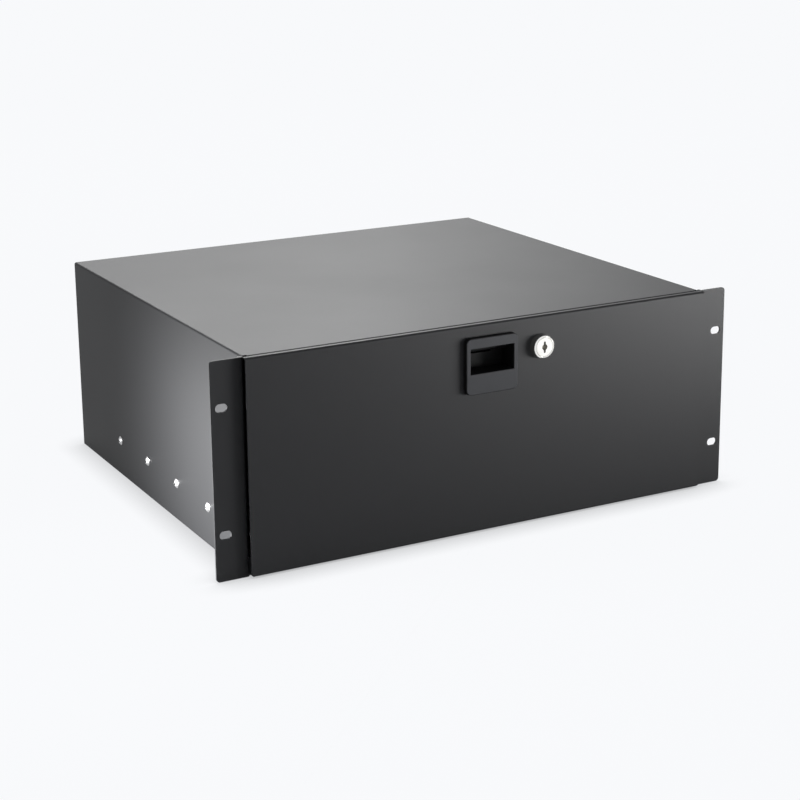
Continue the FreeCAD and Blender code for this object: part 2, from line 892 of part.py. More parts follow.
def cage_section(web, ball_depth, ball_rise):
    """Strip that reaches round between two rails and ends past the ball middles."""
    half = size.cage_sheet / 2
    tip = ball_depth + race - size.rail_gap
    return [
        (web, ball_rise + half),
        (tip, ball_rise + half),
        (tip, ball_rise - half),
        (web + size.cage_sheet, ball_rise - half),
    ]


cage_long = slide_long - slide_travel / 2 - size.cage_spare
cage_start = size.slide_setback + (slide_long - cage_long) / 2


def ball_places():
    return [size.ball_end_room, cage_long - size.ball_end_room]


def make_cage(label, side, hand, web, ball_depth, ball_rise):
    """Ball cage with its open notches, and the balls that sit in them."""
    cage = new_member(f"{label}_cage_{side}", cage_section(web, ball_depth, ball_rise), hand,
                      cage_start, cage_long)
    notches = plan_sketch(cage)
    for place in ball_places():
        draw_circle(notches, hand * (ball_depth - side_inner), place,
                    size.ball_size / 2 + size.ball_room)
    cut(cage, notches, size.slide_tall * 2, both_ways=True)
    balls = []
    radius = float(size.ball_size) / 2
    slant = radius * math.sin(math.pi / 4)
    profile = [(0, radius), (slant, slant), (radius, 0), (slant, -slant), (0, -radius)]
    for place in ball_places():
        for way in (1, -1):
            middle = Vector(hand * float(ball_depth - side_inner), float(cage_start + place),
                            float(slide_level) + way * float(ball_rise))
            balls.append(turned(profile, middle, Vector(0, 0, 1), BALL_SIDES))
    group(f"{label}_balls_{side}", balls)


def slide_screw_places():
    first = size.slide_screw_first
    return [first, slide_long / 2, slide_long - first]


def make_slide(side, hand):
    """Ball-bearing slide in three rails: on the housing, in the middle and on the tray."""
    cabinet = new_member(f"cabinet_rail_{side}", cabinet_section(), hand, size.slide_setback,
                         slide_long)
    holes = side_sketch(cabinet)
    for place in rivet_places():
        draw_fastener_hole(holes, place - size.slide_setback, 0, size.rivet_shank / 2)
    cut(cabinet, holes, body_wide * 2, both_ways=True)
    new_member(f"middle_rail_{side}", middle_section(), hand, size.slide_setback, slide_long)
    tray_rail = new_member(f"drawer_rail_{side}", drawer_section(), hand, size.slide_setback,
                           slide_long)
    threads = side_sketch(tray_rail)
    for place in slide_screw_places():
        draw_fastener_hole(threads, place, 0, size.slide_screw_size / 2)
    cut(tray_rail, threads, body_wide * 2, both_ways=True)
    make_cage("outer", side, hand, cage_web, size.outer_ball_depth, outer_ball_rise)
    make_cage("inner", side, hand, inner_cage_web, size.inner_ball_depth, inner_ball_rise)
    make_slide_screws(side, hand)


def make_slide_screws(side, hand):
    """Pan-head screws from inside the tray into the drawer rail."""
    head = float(size.slide_screw_head) / 2
    thick = float(size.slide_screw_thick)
    shank = float(size.slide_screw_size) / 2
    grip = float(size.tray_sheet + size.member_wall + size.slide_screw_tip)
    crown = head * 0.8
    profile = [(0, thick), (crown, thick), (head, 0), (shank, 0), (shank, -grip), (0, -grip)]
    solids = []
    for place in slide_screw_places():
        seat = Vector(-hand * float(tray_inner), float(size.slide_setback + place), float(slide_level))
        solids.append(turned(profile, seat, Vector(hand, 0, 0)))
    group(f"rail_screws_{side}", solids)


# drawer

def stud_places():
    """Studs on the front: two up each side flange and two along the floor flange."""
    side = tray_side - size.tray_flange / 2
    level = tray_floor + size.tray_flange / 2
    rows = (tray_side_top - size.side_stud_drop, tray_floor + size.side_stud_rise)
    places = [(hand * side, row) for hand in (1, -1) for row in rows]
    return places + [(hand * size.floor_stud_step, level) for hand in (1, -1)]


def make_tray():
    """Folded tray with inward hems, front flanges and a closed back."""
    body = new_body("drawer_tray")
    out = size.tray_bend + size.tray_sheet
    hem = tray_side - size.tray_hem
    hem_under = tray_side_top - size.tray_sheet
    shell = front_sketch(body, front_back)
    draw_outline(shell, [
        (out - tray_side, tray_floor),
        (tray_side - out, tray_floor, arc_run(tray_side - out, tray_floor + out, out, 1)),
        (tray_side, tray_floor + out),
        (tray_side, tray_side_top),
        (hem, tray_side_top),
        (hem, hem_under),
        (tray_inner, hem_under),
        (tray_inner, tray_floor + out,
         arc_run(tray_side - out, tray_floor + out, size.tray_bend, -1)),
        (tray_side - out, tray_floor_inner),
        (out - tray_side, tray_floor_inner,
         arc_run(out - tray_side, tray_floor + out, size.tray_bend, -1)),
        (-tray_inner, tray_floor + out),
        (-tray_inner, hem_under),
        (-hem, hem_under),
        (-hem, tray_side_top),
        (-tray_side, tray_side_top),
        (-tray_side, tray_floor + out, arc_run(out - tray_side, tray_floor + out, out, 1)),
    ])
    pad(body, shell, tray_back - front_back, toward_normal=False)
    back = front_sketch(body, tray_back - size.tray_sheet)
    draw_outline(back, box_corners(-(tray_side - out), tray_side - out, tray_floor, tray_back_top))
    pad(body, back, size.tray_sheet, toward_normal=False)
    back_wings = front_sketch(body, tray_back - size.tray_sheet)
    draw_outline(back_wings, box_corners(-tray_side, tray_side, tray_floor + out, tray_back_top))
    pad(body, back_wings, size.tray_sheet, toward_normal=False)
    inside = tray_side - size.tray_flange
    rim = tray_floor + size.tray_flange
    frame = front_sketch(body, front_back)
    draw_outline(frame, [
        (out - tray_side, tray_floor),
        (tray_side - out, tray_floor),
        (tray_side, tray_floor + out),
        (tray_side, hem_under),
        (inside, hem_under),
        (inside, rim),
        (-inside, rim),
        (-inside, hem_under),
        (-tray_side, hem_under),
        (-tray_side, tray_floor + out),
    ])
    pad(body, frame, size.tray_sheet, toward_normal=False)
    stud_holes = front_sketch(body, front_back)
    for x, z in stud_places():
        draw_circle(stud_holes, x, z, size.stud_size / 2 + size.stud_hole_room)
    cut(body, stud_holes, size.tray_sheet * 2, both_ways=True)
    screw_holes = side_sketch(body)
    for place in slide_screw_places():
        draw_fastener_hole(screw_holes, size.slide_setback + place, slide_level,
                           size.slide_screw_size / 2)
    cut(body, screw_holes, body_wide * 2, both_ways=True)
    return body


def double_flat(sketch, x, y, radius, flats):
    """Circle with two upright flats, as the lock barrel and its hole have."""
    half = as_size(flats) / 2
    angle = arc_cosine(half / radius)
    reach = radius * sine(angle)
    draw_outline(sketch, [
        (x + half, y - reach),
        (x + half, y + reach, arc_run(x, y, radius, 1)),
        (x - half, y + reach),
        (x - half, y - reach, arc_run(x, y, radius, 1)),
    ])


def make_front():
    """Drawer front: a plate with folded top and bottom edges and two short corner tabs."""
    body = new_body("drawer_front")
    out = size.edge_bend + size.front_sheet
    low = floor_level + size.front_floor_gap
    rear = front_face + size.front_return
    bend_y = front_face + out
    half = half_body + size.front_over_side
    profile = side_sketch(body)
    draw_outline(profile, [
        (rear, low),
        (rear, low + size.front_sheet),
        (bend_y, low + size.front_sheet, arc_run(bend_y, low + out, size.edge_bend, -1)),
        (front_back, low + out),
        (front_back, top_level - out,
         arc_run(bend_y, top_level - out, size.edge_bend, -1)),
        (bend_y, top_level - size.front_sheet),
        (rear, top_level - size.front_sheet),
        (rear, top_level),
        (bend_y, top_level, arc_run(bend_y, top_level - out, out, 1)),
        (front_face, top_level - out),
        (front_face, low + out, arc_run(bend_y, low + out, out, 1)),
        (bend_y, low),
    ])
    pad(body, profile, half * 2, both_ways=True)
    tabs = front_sketch(body, front_back)
    for hand in (1, -1):
        draw_outline(tabs, box_corners(
            *sorted((hand * half, hand * (half - size.front_sheet)), key=float),
            low + size.front_sheet / 2, low + size.tab_tall))
    pad(body, tabs, size.tab_reach, toward_normal=False)
    openings = front_sketch(body, front_face)
    room = size.panel_room
    draw_outline(openings, box_corners(
        -(box_half + room), box_half + room, box_bottom - room, box_top + room))
    double_flat(openings, size.lock_side, lock_level, barrel_half + room,
                size.barrel_flats + room * 2)
    for hand in (1, -1):
        draw_circle(openings, hand * size.latch_screw_span / 2, latch_screw_level,
                    size.screw_size / 2 + room)
    cut(body, openings, size.front_sheet, toward_normal=False)
    corners = front_sketch(body, front_face)
    round_x = half - size.front_corner
    round_z = low + size.front_corner
    for hand in (1, -1):
        draw_outline(corners, [
            (hand * half, round_z, arc_run(hand * round_x, round_z, size.front_corner, -hand)),
            (hand * round_x, low),
            (hand * round_x, low - size.front_corner),
            (hand * (half + size.front_corner), low - size.front_corner),
            (hand * (half + size.front_corner), round_z),
        ])
    cut(body, corners, size.front_return, toward_normal=False)
    return body


def make_studs_and_nuts():
    radius = float(size.stud_size) / 2
    long = float(size.stud_long)
    profile = [(0, 0), (radius, 0), (radius, long), (0, long)]
    studs = []
    nuts = []
    for x, z in stud_places():
        studs.append(turned(profile, Vector(float(x), float(front_back), float(z)), Vector(0, 1, 0)))
        seat = Vector(float(x), float(front_back + size.tray_sheet), float(z))
        nuts.append(hex_nut(size.stud_nut_flats, size.stud_nut_thick, radius, seat, Vector(0, 1, 0)))
    group("front_studs", studs)
    group("front_nuts", nuts)


# latch

def make_latch_body():
    """Moulded pull: a bevelled bezel with a finger recess and the box that carries the lever."""
    body = new_body("latch_body")
    half = size.latch_wide / 2
    low = latch_bottom
    high = latch_level + size.latch_tall / 2
    bezel = front_sketch(body, front_face)
    draw_outline(bezel, rounded_corners(-half, half, low, high, size.latch_corner))
    pad(body, bezel, size.latch_proud, draft=size.latch_draft)
    at_face = lambda edge: abs(edge.BoundBox.YMin - float(latch_face)) + edge.BoundBox.YLength < 0.01
    bevel_edges(body, size.bezel_edge, at_face)
    box = front_sketch(body, front_face)
    draw_outline(box, box_corners(-box_half, box_half, box_bottom, box_top))
    pad(body, box, size.box_back - front_face, toward_normal=False)

    inner = size.pull_wide / 2
    roof = box_top - size.latch_wall
    recess_front = latch_face + size.bezel_wall
    mouth = front_sketch(body, latch_face)
    draw_outline(mouth, box_corners(-inner, inner, pull_bottom, pull_top))
    cut(body, mouth, size.bezel_wall, toward_normal=False)
    bevel_edges(body, size.mouth_edge, lambda edge: (
        at_face(edge) and abs(edge.CenterOfMass.x) < float(inner) + 0.01
        and float(pull_bottom) - 0.01 < edge.CenterOfMass.z < float(pull_top) + 0.01))
    recess = front_sketch(body, recess_front)
    draw_outline(recess, box_corners(-inner, inner, pull_bottom, roof))
    cut(body, recess, size.rear_wall_front - recess_front, toward_normal=False)
    chamber = front_sketch(body, chamber_front)
    draw_outline(chamber, box_corners(-inner, inner, pull_bottom, roof))
    cut(body, chamber, size.box_back - size.latch_wall - chamber_front, toward_normal=False)
    gate_half = size.tongue_wide / 2 + size.tongue_side_gap
    gate = front_sketch(body, size.rear_wall_front)
    draw_outline(gate, box_corners(-gate_half, gate_half, pull_bottom + size.rear_wall_rise, box_top + size.latch_wall))
    cut(body, gate, size.box_back - size.latch_wall - size.rear_wall_front, toward_normal=False)

    bore = side_sketch(body)
    draw_circle(bore, size.pivot_back, pivot_level, size.pin_size / 2)
    cut(body, bore, size.latch_wide * 2, both_ways=True)
    threads = front_sketch(body, front_face)
    for hand in (1, -1):
        draw_circle(threads, hand * size.latch_screw_span / 2, latch_screw_level,
                    size.screw_size / 2)
    cut(body, threads, size.screw_bite)
    return body


def make_latch_lever():
    """Finger lever with the catch tongue behind its pivot, drawn lifted, so the tongue is down."""
    body = new_body("latch_lever")
    half = size.lever_thick / 2
    tab = side_sketch(body)
    draw_outline(tab, [
        (half - size.lever_reach, -half),
        (0, -half),
        (0, half),
        (half - size.lever_reach, half, arc_run(half - size.lever_reach, 0, half, 1)),
    ])
    pad(body, tab, size.lever_wide, both_ways=True)
    hub = side_sketch(body)
    draw_circle(hub, 0, 0, size.hub_size / 2)
    pad(body, hub, size.pull_wide - size.hub_side_gap * 2, both_ways=True)
    back = size.lever_reach
    tongue = side_sketch(body)
    draw_outline(tongue, [
        (0, -half),
        (back, -half),
        (back, size.tongue_rise - size.tongue_ramp),
        (size.tongue_front + size.tongue_flat, size.tongue_rise),
        (size.tongue_front, size.tongue_rise),
        (size.tongue_front, half),
        (0, half),
    ])
    pad(body, tongue, size.tongue_wide, both_ways=True)
    bore = side_sketch(body)
    draw_circle(bore, 0, 0, size.pin_size / 2 + size.pin_gap)
    cut(body, bore, size.lever_wide * 2, both_ways=True)
    set_place(body, 0, size.pivot_back, pivot_level, Vector(1, 0, 0), -size.lift_angle)
    return body


def make_latch_pin():
    pin = doc.addObject("Part::Cylinder", "latch_pin")
    bind(pin, "Radius", size.pin_size / 2)
    bind(pin, "Height", box_half * 2)
    set_place(pin, -box_half, size.pivot_back, pivot_level, Vector(0, 1, 0), 90)
    return keep(pin, "latch_pin")


def make_latch_spring():
    """Compression spring under the lever's back arm, at its length with the lever lifted."""
    lift = math.radians(float(size.lift_angle))
    arm = float(spring_back - size.pivot_back)
    under = float(pivot_level) - arm * math.tan(lift) - float(size.lever_thick) / 2 / math.cos(lift)
    wire = float(size.spring_wire) / 2
    lean = float(size.spring_size) / 2 * math.tan(lift)
    low = float(pull_bottom) + float(size.spring_gap) + wire
    long = under - lean - float(size.spring_gap) - wire - low
    radius = float(size.spring_size) / 2 - wire
    steps = round(float(size.spring_turns) * COIL_SIDES)
    corners = [2 * math.pi * k / WIRE_SIDES for k in range(WIRE_SIDES)]
    rings = []
    for step in range(steps + 1):
        about = 2 * math.pi * step / COIL_SIDES
        ring = [(radius + wire * math.cos(turn), long * step / steps + wire * math.sin(turn))
                for turn in corners]
        rings.append([Vector(reach * math.cos(about), reach * math.sin(about), height)
                      for reach, height in ring])
    faces = [rings[0], rings[-1]]
    for near, far in zip(rings, rings[1:]):
        for k in range(WIRE_SIDES):
            along = (k + 1) % WIRE_SIDES
            faces += [[near[k], near[along], far[along]], [near[k], far[along], far[k]]]
    shell = Part.makeShell([Part.Face(Part.makePolygon(face + face[:1])) for face in faces])
    solid = Part.makeSolid(shell)
    if solid.Volume < 0:
        solid.reverse()
    item = doc.addObject("Part::Feature", "latch_spring")
    item.Shape = solid
    item.Placement = Placement(Vector(0, float(spring_back), low), Rotation())
    return keep(item, "latch_spring")


def make_latch_screws():
    """Two screws from behind the front into the bezel."""
    head = float(size.screw_head) / 2
    thick = float(size.screw_head_thick)
    shank = float(size.screw_size) / 2
    grip = float(size.front_sheet + size.screw_bite)
    profile = [(0, thick), (head * 0.75, thick), (head, 0), (shank, 0), (shank, -grip), (0, -grip)]
    solids = [turned(profile, Vector(hand * float(size.latch_screw_span) / 2, float(front_back),
                                     float(latch_screw_level)), Vector(0, 1, 0))
              for hand in (-1, 1)]
    return group("latch_screws", solids)


# lock

def make_lock_body():
    """Chromed head and double-flat barrel."""
    body = new_body("lock_body")
    face = front_face - size.lock_proud
    bore = size.plug_size / 2 + size.plug_gap
    counterbore = size.plug_face / 2 + size.plug_gap
    step = face + size.plug_face_deep
    edge = size.lock_proud / 8
    profile = side_sketch(body)
    draw_outline(profile, [
        (face + size.plug_edge, counterbore),
        (face, counterbore + size.plug_edge),
        (face, size.lock_face / 2 - edge),
        (face + edge, size.lock_face / 2),
        (front_face, size.lock_head / 2),
        (front_face, barrel_half),
        (size.barrel_back, barrel_half),
        (size.barrel_back, bore),
        (step, bore),
        (step, counterbore),
    ])
    revolve(body, profile, "Y_Axis")
    flats = front_sketch(body, front_face)
    edge_x = size.barrel_flats / 2
    for hand in (1, -1):
        draw_outline(flats, box_corners(
            *sorted((hand * edge_x, hand * size.barrel_size), key=float), -barrel_half, barrel_half))
    cut(body, flats, size.barrel_back - front_face, toward_normal=False)
    set_place(body, size.lock_side, 0, lock_level)
    return body


def make_lock_plug():
    """Plug with the key slot in its face and a square with a stud at its back."""
    body = new_body("lock_plug")
    face = front_face - size.lock_proud
    step = face + size.plug_face_deep - size.plug_gap
    end = cam_back + size.cam_nut_thick + size.cam_stud_spare
    stud = size.cam_stud / 2
    profile = side_sketch(body)
    draw_outline(profile, [
        (face, 0),
        (face, size.plug_face / 2 - size.plug_edge),
        (face + size.plug_edge, size.plug_face / 2),
        (step, size.plug_face / 2),
        (step, size.plug_size / 2),
        (cam_front, size.plug_size / 2),
        (cam_front, stud),
        (end, stud),
        (end, 0),
    ])
    revolve(body, profile, "Y_Axis")
    square = front_sketch(body, cam_front)
    half = size.cam_square / 2
    draw_outline(square, box_corners(-half, half, -half, half))
    pad(body, square, size.cam_thick, toward_normal=False)
    slot = front_sketch(body, face)
    draw_outline(slot, box_corners(-(size.key_wide / 2), size.key_wide / 2,
                                   -(size.key_tall / 2), size.key_tall / 2))
    cut(body, slot, size.key_deep, toward_normal=False)
    bulge = front_sketch(body, face)
    draw_circle(bulge, 0, 0, size.key_round / 2)
    cut(body, bulge, size.key_deep, toward_normal=False)
    set_place(body, size.lock_side, 0, lock_level)
    return body


def make_lock_cam():
    """Flat cam; it points to the right while unlocked and upwards when locked."""
    body = new_body("lock_cam")
    radius = size.cam_wide / 2
    tip = size.edge_bend * 5
    shape = front_sketch(body, cam_front)
    draw_outline(shape, [
        (0, -radius),
        (size.cam_reach - tip, -radius, arc_run(size.cam_reach - tip, tip - radius, tip, 1)),
        (size.cam_reach, tip - radius),
        (size.cam_reach, radius - tip, arc_run(size.cam_reach - tip, radius - tip, tip, 1)),
        (size.cam_reach - tip, radius),
        (0, radius, arc_run(0, 0, radius, 1)),
    ])
    pad(body, shape, size.cam_thick, toward_normal=False)
    square = front_sketch(body, cam_front)
    half = size.cam_square / 2
    draw_outline(square, box_corners(-half, half, -half, half))
    cut(body, square, size.cam_thick, toward_normal=False)
    set_place(body, size.lock_side, 0, lock_level)
    return body


def make_nut(label, flats, thick, bore, back):
    """Hexagon nut about the lock's axis, from its front face backwards."""
    prism = doc.addObject("Part::Prism", f"{label}_blank")
    prism.Polygon = 6
    bind(prism, "Circumradius", as_size(flats) / 2 / cosine(30))
    bind(prism, "Height", thick)
    hole = doc.addObject("Part::Prism", f"{label}_hole")
    hole.Polygon = WASHER_SIDES
    bind(hole, "Circumradius", as_size(bore) / cosine(180 / WASHER_SIDES))
    bind(hole, "Height", thick)
    nut = doc.addObject("Part::Cut", label)
    nut.Base = prism
    nut.Tool = hole
    set_place(nut, size.lock_side, back, lock_level, Vector(1, 0, 0), -90)
    return keep(nut, label)


def make_lock_washer():
    disc = doc.addObject("Part::Prism", "washer_blank")
    disc.Polygon = WASHER_SIDES
    bind(disc, "Circumradius", size.washer_size / 2)
    bind(disc, "Height", size.washer_thick)
    hole = doc.addObject("Part::Prism", "washer_hole")
    hole.Polygon = WASHER_SIDES
    bind(hole, "Circumradius", barrel_half / cosine(180 / WASHER_SIDES))
    bind(hole, "Height", size.washer_thick)
    washer = doc.addObject("Part::Cut", "lock_washer")
    washer.Base = disc
    washer.Tool = hole
    set_place(washer, size.lock_side, front_back, lock_level, Vector(1, 0, 0), -90)
    return keep(washer, "lock_washer")


make_housing_wrap()
make_bottom_pan()
make_rear_panel()
make_latch_strike()
make_stops()
for side, hand in (("left", 1), ("right", -1)):
    make_rivets(side, -hand)
    make_slide(side, hand)
make_tray()
make_front()
make_studs_and_nuts()
make_latch_body()
make_latch_lever()
make_latch_pin()
make_latch_spring()
make_latch_screws()
make_lock_body()
make_lock_plug()
make_lock_cam()
make_nut("cam_nut", size.cam_nut_flats, size.cam_nut_thick, size.cam_stud / 2, cam_back)
make_nut("lock_nut", size.lock_nut_flats, size.lock_nut_thick, barrel_half,
         front_back + size.washer_thick)
make_lock_washer()

doc.recompute()
for item in doc.Objects:
    if "Invalid" in item.State or "Error" in item.State:
        raise RuntimeError(f"{item.Label} failed: {item.State}")
for item in finished:
    if item.Shape.isNull() or not item.Shape.isValid():
        raise RuntimeError(f"{item.Label} has a bad shape")

os.makedirs("parts", exist_ok=True)
for item in finished:
    item.Shape.exportStep(f"parts/{item.Label}.step")
print(len(finished), "pieces")
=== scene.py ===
import json
import math

import bmesh
import bpy
from mathutils import Matrix, Vector


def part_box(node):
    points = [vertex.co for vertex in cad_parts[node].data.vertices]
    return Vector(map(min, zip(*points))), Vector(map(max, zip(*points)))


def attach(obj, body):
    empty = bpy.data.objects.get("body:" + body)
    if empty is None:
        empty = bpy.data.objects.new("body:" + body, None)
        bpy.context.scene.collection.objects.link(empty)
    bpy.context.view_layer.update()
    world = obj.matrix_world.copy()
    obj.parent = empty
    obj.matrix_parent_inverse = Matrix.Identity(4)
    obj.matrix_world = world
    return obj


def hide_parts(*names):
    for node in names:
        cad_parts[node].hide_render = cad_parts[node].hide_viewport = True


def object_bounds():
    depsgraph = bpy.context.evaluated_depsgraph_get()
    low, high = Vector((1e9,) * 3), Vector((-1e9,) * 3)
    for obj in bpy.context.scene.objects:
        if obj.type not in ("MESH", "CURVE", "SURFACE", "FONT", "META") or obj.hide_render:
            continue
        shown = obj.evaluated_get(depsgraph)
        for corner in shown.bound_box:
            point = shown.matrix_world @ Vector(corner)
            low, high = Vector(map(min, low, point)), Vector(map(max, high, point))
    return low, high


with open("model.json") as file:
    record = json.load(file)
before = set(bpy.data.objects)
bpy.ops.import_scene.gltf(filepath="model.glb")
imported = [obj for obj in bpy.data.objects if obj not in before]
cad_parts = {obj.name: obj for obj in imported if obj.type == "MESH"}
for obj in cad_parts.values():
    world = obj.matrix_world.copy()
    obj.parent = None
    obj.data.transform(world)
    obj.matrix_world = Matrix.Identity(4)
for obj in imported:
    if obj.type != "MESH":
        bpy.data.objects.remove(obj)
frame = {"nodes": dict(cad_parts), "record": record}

CAD_BOX = [list(corner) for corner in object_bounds()]
MM = 0.001
FLOOR_LEVEL = CAD_BOX[0][2]
SLOTS = {entry["node"]: entry["material_slot"] for entry in frame["record"]["subparts"]}


# node trees of materials

def new_material(name):
    material = bpy.data.materials.new(name)
    material.use_nodes = True
    material.node_tree.nodes.clear()
    return material, material.node_tree


def add_node(tree, kind, **values):
    """New node; a value is set on the socket of that name, or else on the node itself."""
    node = tree.nodes.new(kind)
    for name, value in values.items():
        label = name.replace("_", " ").title()
        if label in node.inputs:
            node.inputs[label].default_value = value
        else:
            setattr(node, name, value)
    return node


def link(tree, source, target):
    tree.links.new(source, target)


def maths(tree, operation, *terms):
    """Math node on sockets and numbers; gives its result's socket."""
    node = add_node(tree, "ShaderNodeMath", operation=operation)
    for index, term in enumerate(terms):
        if isinstance(term, (int, float)):
            node.inputs[index].default_value = term
        else:
            link(tree, term, node.inputs[index])
    return node.outputs[0]


def new_group(name, inputs, outputs):
    """Shader group with inputs given as name and start value, and typed outputs."""
    group = bpy.data.node_groups.new(name, "ShaderNodeTree")
    for label, value in inputs.items():
        colour = isinstance(value, tuple)
        kind = "NodeSocketColor" if colour else "NodeSocketFloat"
        socket = group.interface.new_socket(label, in_out="INPUT", socket_type=kind)
        socket.default_value = value
    for label, kind in outputs.items():
        group.interface.new_socket(label, in_out="OUTPUT", socket_type=kind)
    return group, group.nodes.new("NodeGroupInput"), group.nodes.new("NodeGroupOutput")


def place_group(tree, group, **values):
    node = tree.nodes.new("ShaderNodeGroup")
    node.node_tree = group
    for name, value in values.items():
        node.inputs[name.replace("_", " ").title()].default_value = value
    return node


def noise_field(group, size, detail=2.0, stretch=(1.0, 1.0, 1.0)):
    """Noise on the piece's own place, with features as wide as the size socket or number."""
    place = group.nodes.new("ShaderNodeTexCoord").outputs["Object"]
    if stretch != (1.0, 1.0, 1.0):
        mapping = add_node(group, "ShaderNodeMapping")
        mapping.inputs["Scale"].default_value = stretch
        link(group, place, mapping.inputs["Vector"])
        place = mapping.outputs[0]
    noise = add_node(group, "ShaderNodeTexNoise", detail=detail, roughness=0.5)
    link(group, place, noise.inputs["Vector"])
    link(group, maths(group, "DIVIDE", 1.0, size), noise.inputs["Scale"])
    return noise.outputs["Fac"]


def tinted(group, colour, mask, low, high):
    """Colour made darker and lighter between two factors by a mask."""
    spread = add_node(group, "ShaderNodeMapRange")
    spread.inputs["To Min"].default_value = low
    spread.inputs["To Max"].default_value = high
    link(group, mask, spread.inputs["Value"])
    tint = add_node(group, "ShaderNodeVectorMath", operation="SCALE")
    link(group, colour, tint.inputs[0])
    link(group, spread.outputs["Result"], tint.inputs["Scale"])
    return tint.outputs[0]


def swing(group, mask, amount):
    """A mask's swing about its middle, times a socket or number."""
    return maths(group, "MULTIPLY", maths(group, "SUBTRACT", mask, 0.5), amount)


def mixed(group, factor, first, second):
    """Mix of two colours, by the sockets that a Mix node has for colour."""
    mix = add_node(group, "ShaderNodeMix", data_type="RGBA")
    for index, source in ((0, factor), (6, first), (7, second)):
        link(group, source, mix.inputs[index])
    return mix.outputs[2]


SURFACE_OUTPUTS = {"Colour": "NodeSocketColor", "Roughness": "NodeSocketFloat",
                   "Height": "NodeSocketFloat"}
PEEL_SHARE = 0.65


def make_powder_group():
    """Powder coat: fine orange peel over a finer grain, with a slightly uneven gloss."""
    group, given, put = new_group(
        "powder_coat",
        {"Colour": (0.02, 0.02, 0.021, 1.0), "Peel Size": 0.0012, "Grain Size": 0.0004,
         "Gloss Spread": 0.05, "Roughness": 0.45},
        SURFACE_OUTPUTS)
    peel = noise_field(group, given.outputs["Peel Size"])
    grain = noise_field(group, given.outputs["Grain Size"])
    height = maths(group, "MULTIPLY_ADD", grain, 1.0 - PEEL_SHARE,
                   maths(group, "MULTIPLY", peel, PEEL_SHARE))
    link(group, height, put.inputs["Height"])
    cloud = noise_field(group, 0.11, detail=3.0)
    uneven = swing(group, cloud, given.outputs["Gloss Spread"])
    rough = maths(group, "ADD", maths(group, "ADD", given.outputs["Roughness"], uneven),
                  swing(group, grain, 0.1))
    link(group, rough, put.inputs["Roughness"])
    link(group, tinted(group, given.outputs["Colour"], height, 0.86, 1.14), put.inputs["Colour"])
    return group


def make_metal_group():
    """Plated or drawn metal: cloudy plating, drawing lines along Y and light rubbing."""
    group, given, put = new_group(
        "worked_metal",
        {"Colour": (0.62, 0.63, 0.65, 1.0), "Tarnish": (0.55, 0.53, 0.47, 1.0),
         "Cloud Size": 0.012, "Line Size": 0.0005, "Cloudiness": 0.3, "Lines": 0.12,
         "Roughness": 0.3},
        SURFACE_OUTPUTS)
    cloud = noise_field(group, given.outputs["Cloud Size"], detail=4.0)
    lines = noise_field(group, given.outputs["Line Size"], stretch=(1.0, 0.03, 1.0))
    amount = maths(group, "MULTIPLY", cloud, given.outputs["Cloudiness"])
    plated = mixed(group, amount, given.outputs["Colour"], given.outputs["Tarnish"])
    link(group, tinted(group, plated, lines, 0.94, 1.06), put.inputs["Colour"])
    cloudy = swing(group, cloud, 0.16)
    rough = maths(group, "ADD", maths(group, "ADD", given.outputs["Roughness"], cloudy),
                  swing(group, lines, given.outputs["Lines"]))
    link(group, rough, put.inputs["Roughness"])
    link(group, lines, put.inputs["Height"])
    return group


def make_moulding_group():
    """Moulded plastic, grained: its face in front of a level of Y gets a paler colour, a painted
    sheen, and the walls behind keep the plain dark colour.
    """
    group, given, put = new_group(
        "moulded_plastic",
        {"Colour": (0.004, 0.004, 0.0042, 1.0), "Face Colour": (0.03, 0.03, 0.031, 1.0),
         "Face Level": 0.0, "Grain Size": 0.00022, "Roughness": 0.42},
        SURFACE_OUTPUTS)
    grain = noise_field(group, given.outputs["Grain Size"])
    place = group.nodes.new("ShaderNodeTexCoord").outputs["Object"]
    split = group.nodes.new("ShaderNodeSeparateXYZ")
    link(group, place, split.inputs[0])
    # faces in front of the level get the painted sheen colour; the walls keep the plain dark
    # colour
    face = maths(group, "LESS_THAN", split.outputs["Y"], given.outputs["Face Level"])
    sheen_painted_colour = mixed(group, face, given.outputs["Colour"], given.outputs["Face Colour"])
    link(group, tinted(group, sheen_painted_colour, grain, 0.85, 1.15), put.inputs["Colour"])
    uneven = swing(group, noise_field(group, 0.02, detail=3.0), 0.08)
    rough = maths(group, "ADD", given.outputs["Roughness"], uneven)
    link(group, rough, put.inputs["Roughness"])
    link(group, grain, put.inputs["Height"])
    return group


POWDER = make_powder_group()
METAL = make_metal_group()
MOULDING = make_moulding_group()


def finish(name, group, depth, relief, metallic=0.0, ior=1.5, **values):
    """Material from a surface group: its colour, roughness and relief on one shader."""
    material, tree = new_material(name)
    shader = add_node(tree, "ShaderNodeBsdfPrincipled", metallic=metallic)
    shader.inputs["IOR"].default_value = ior
    surface = place_group(tree, group, **values)
    link(tree, surface.outputs["Colour"], shader.inputs["Base Color"])
    link(tree, surface.outputs["Roughness"], shader.inputs["Roughness"])
    bump = add_node(tree, "ShaderNodeBump", strength=depth, distance=relief)
    link(tree, surface.outputs["Height"], bump.inputs["Height"])
    link(tree, bump.outputs[0], shader.inputs["Normal"])
    output = add_node(tree, "ShaderNodeOutputMaterial")
    link(tree, shader.outputs[0], output.inputs["Surface"])
    return material


PAINT_BLACK = (0.0052, 0.0054, 0.006, 1.0)
PLASTIC_BLACK = (0.003, 0.003, 0.0032, 1.0)
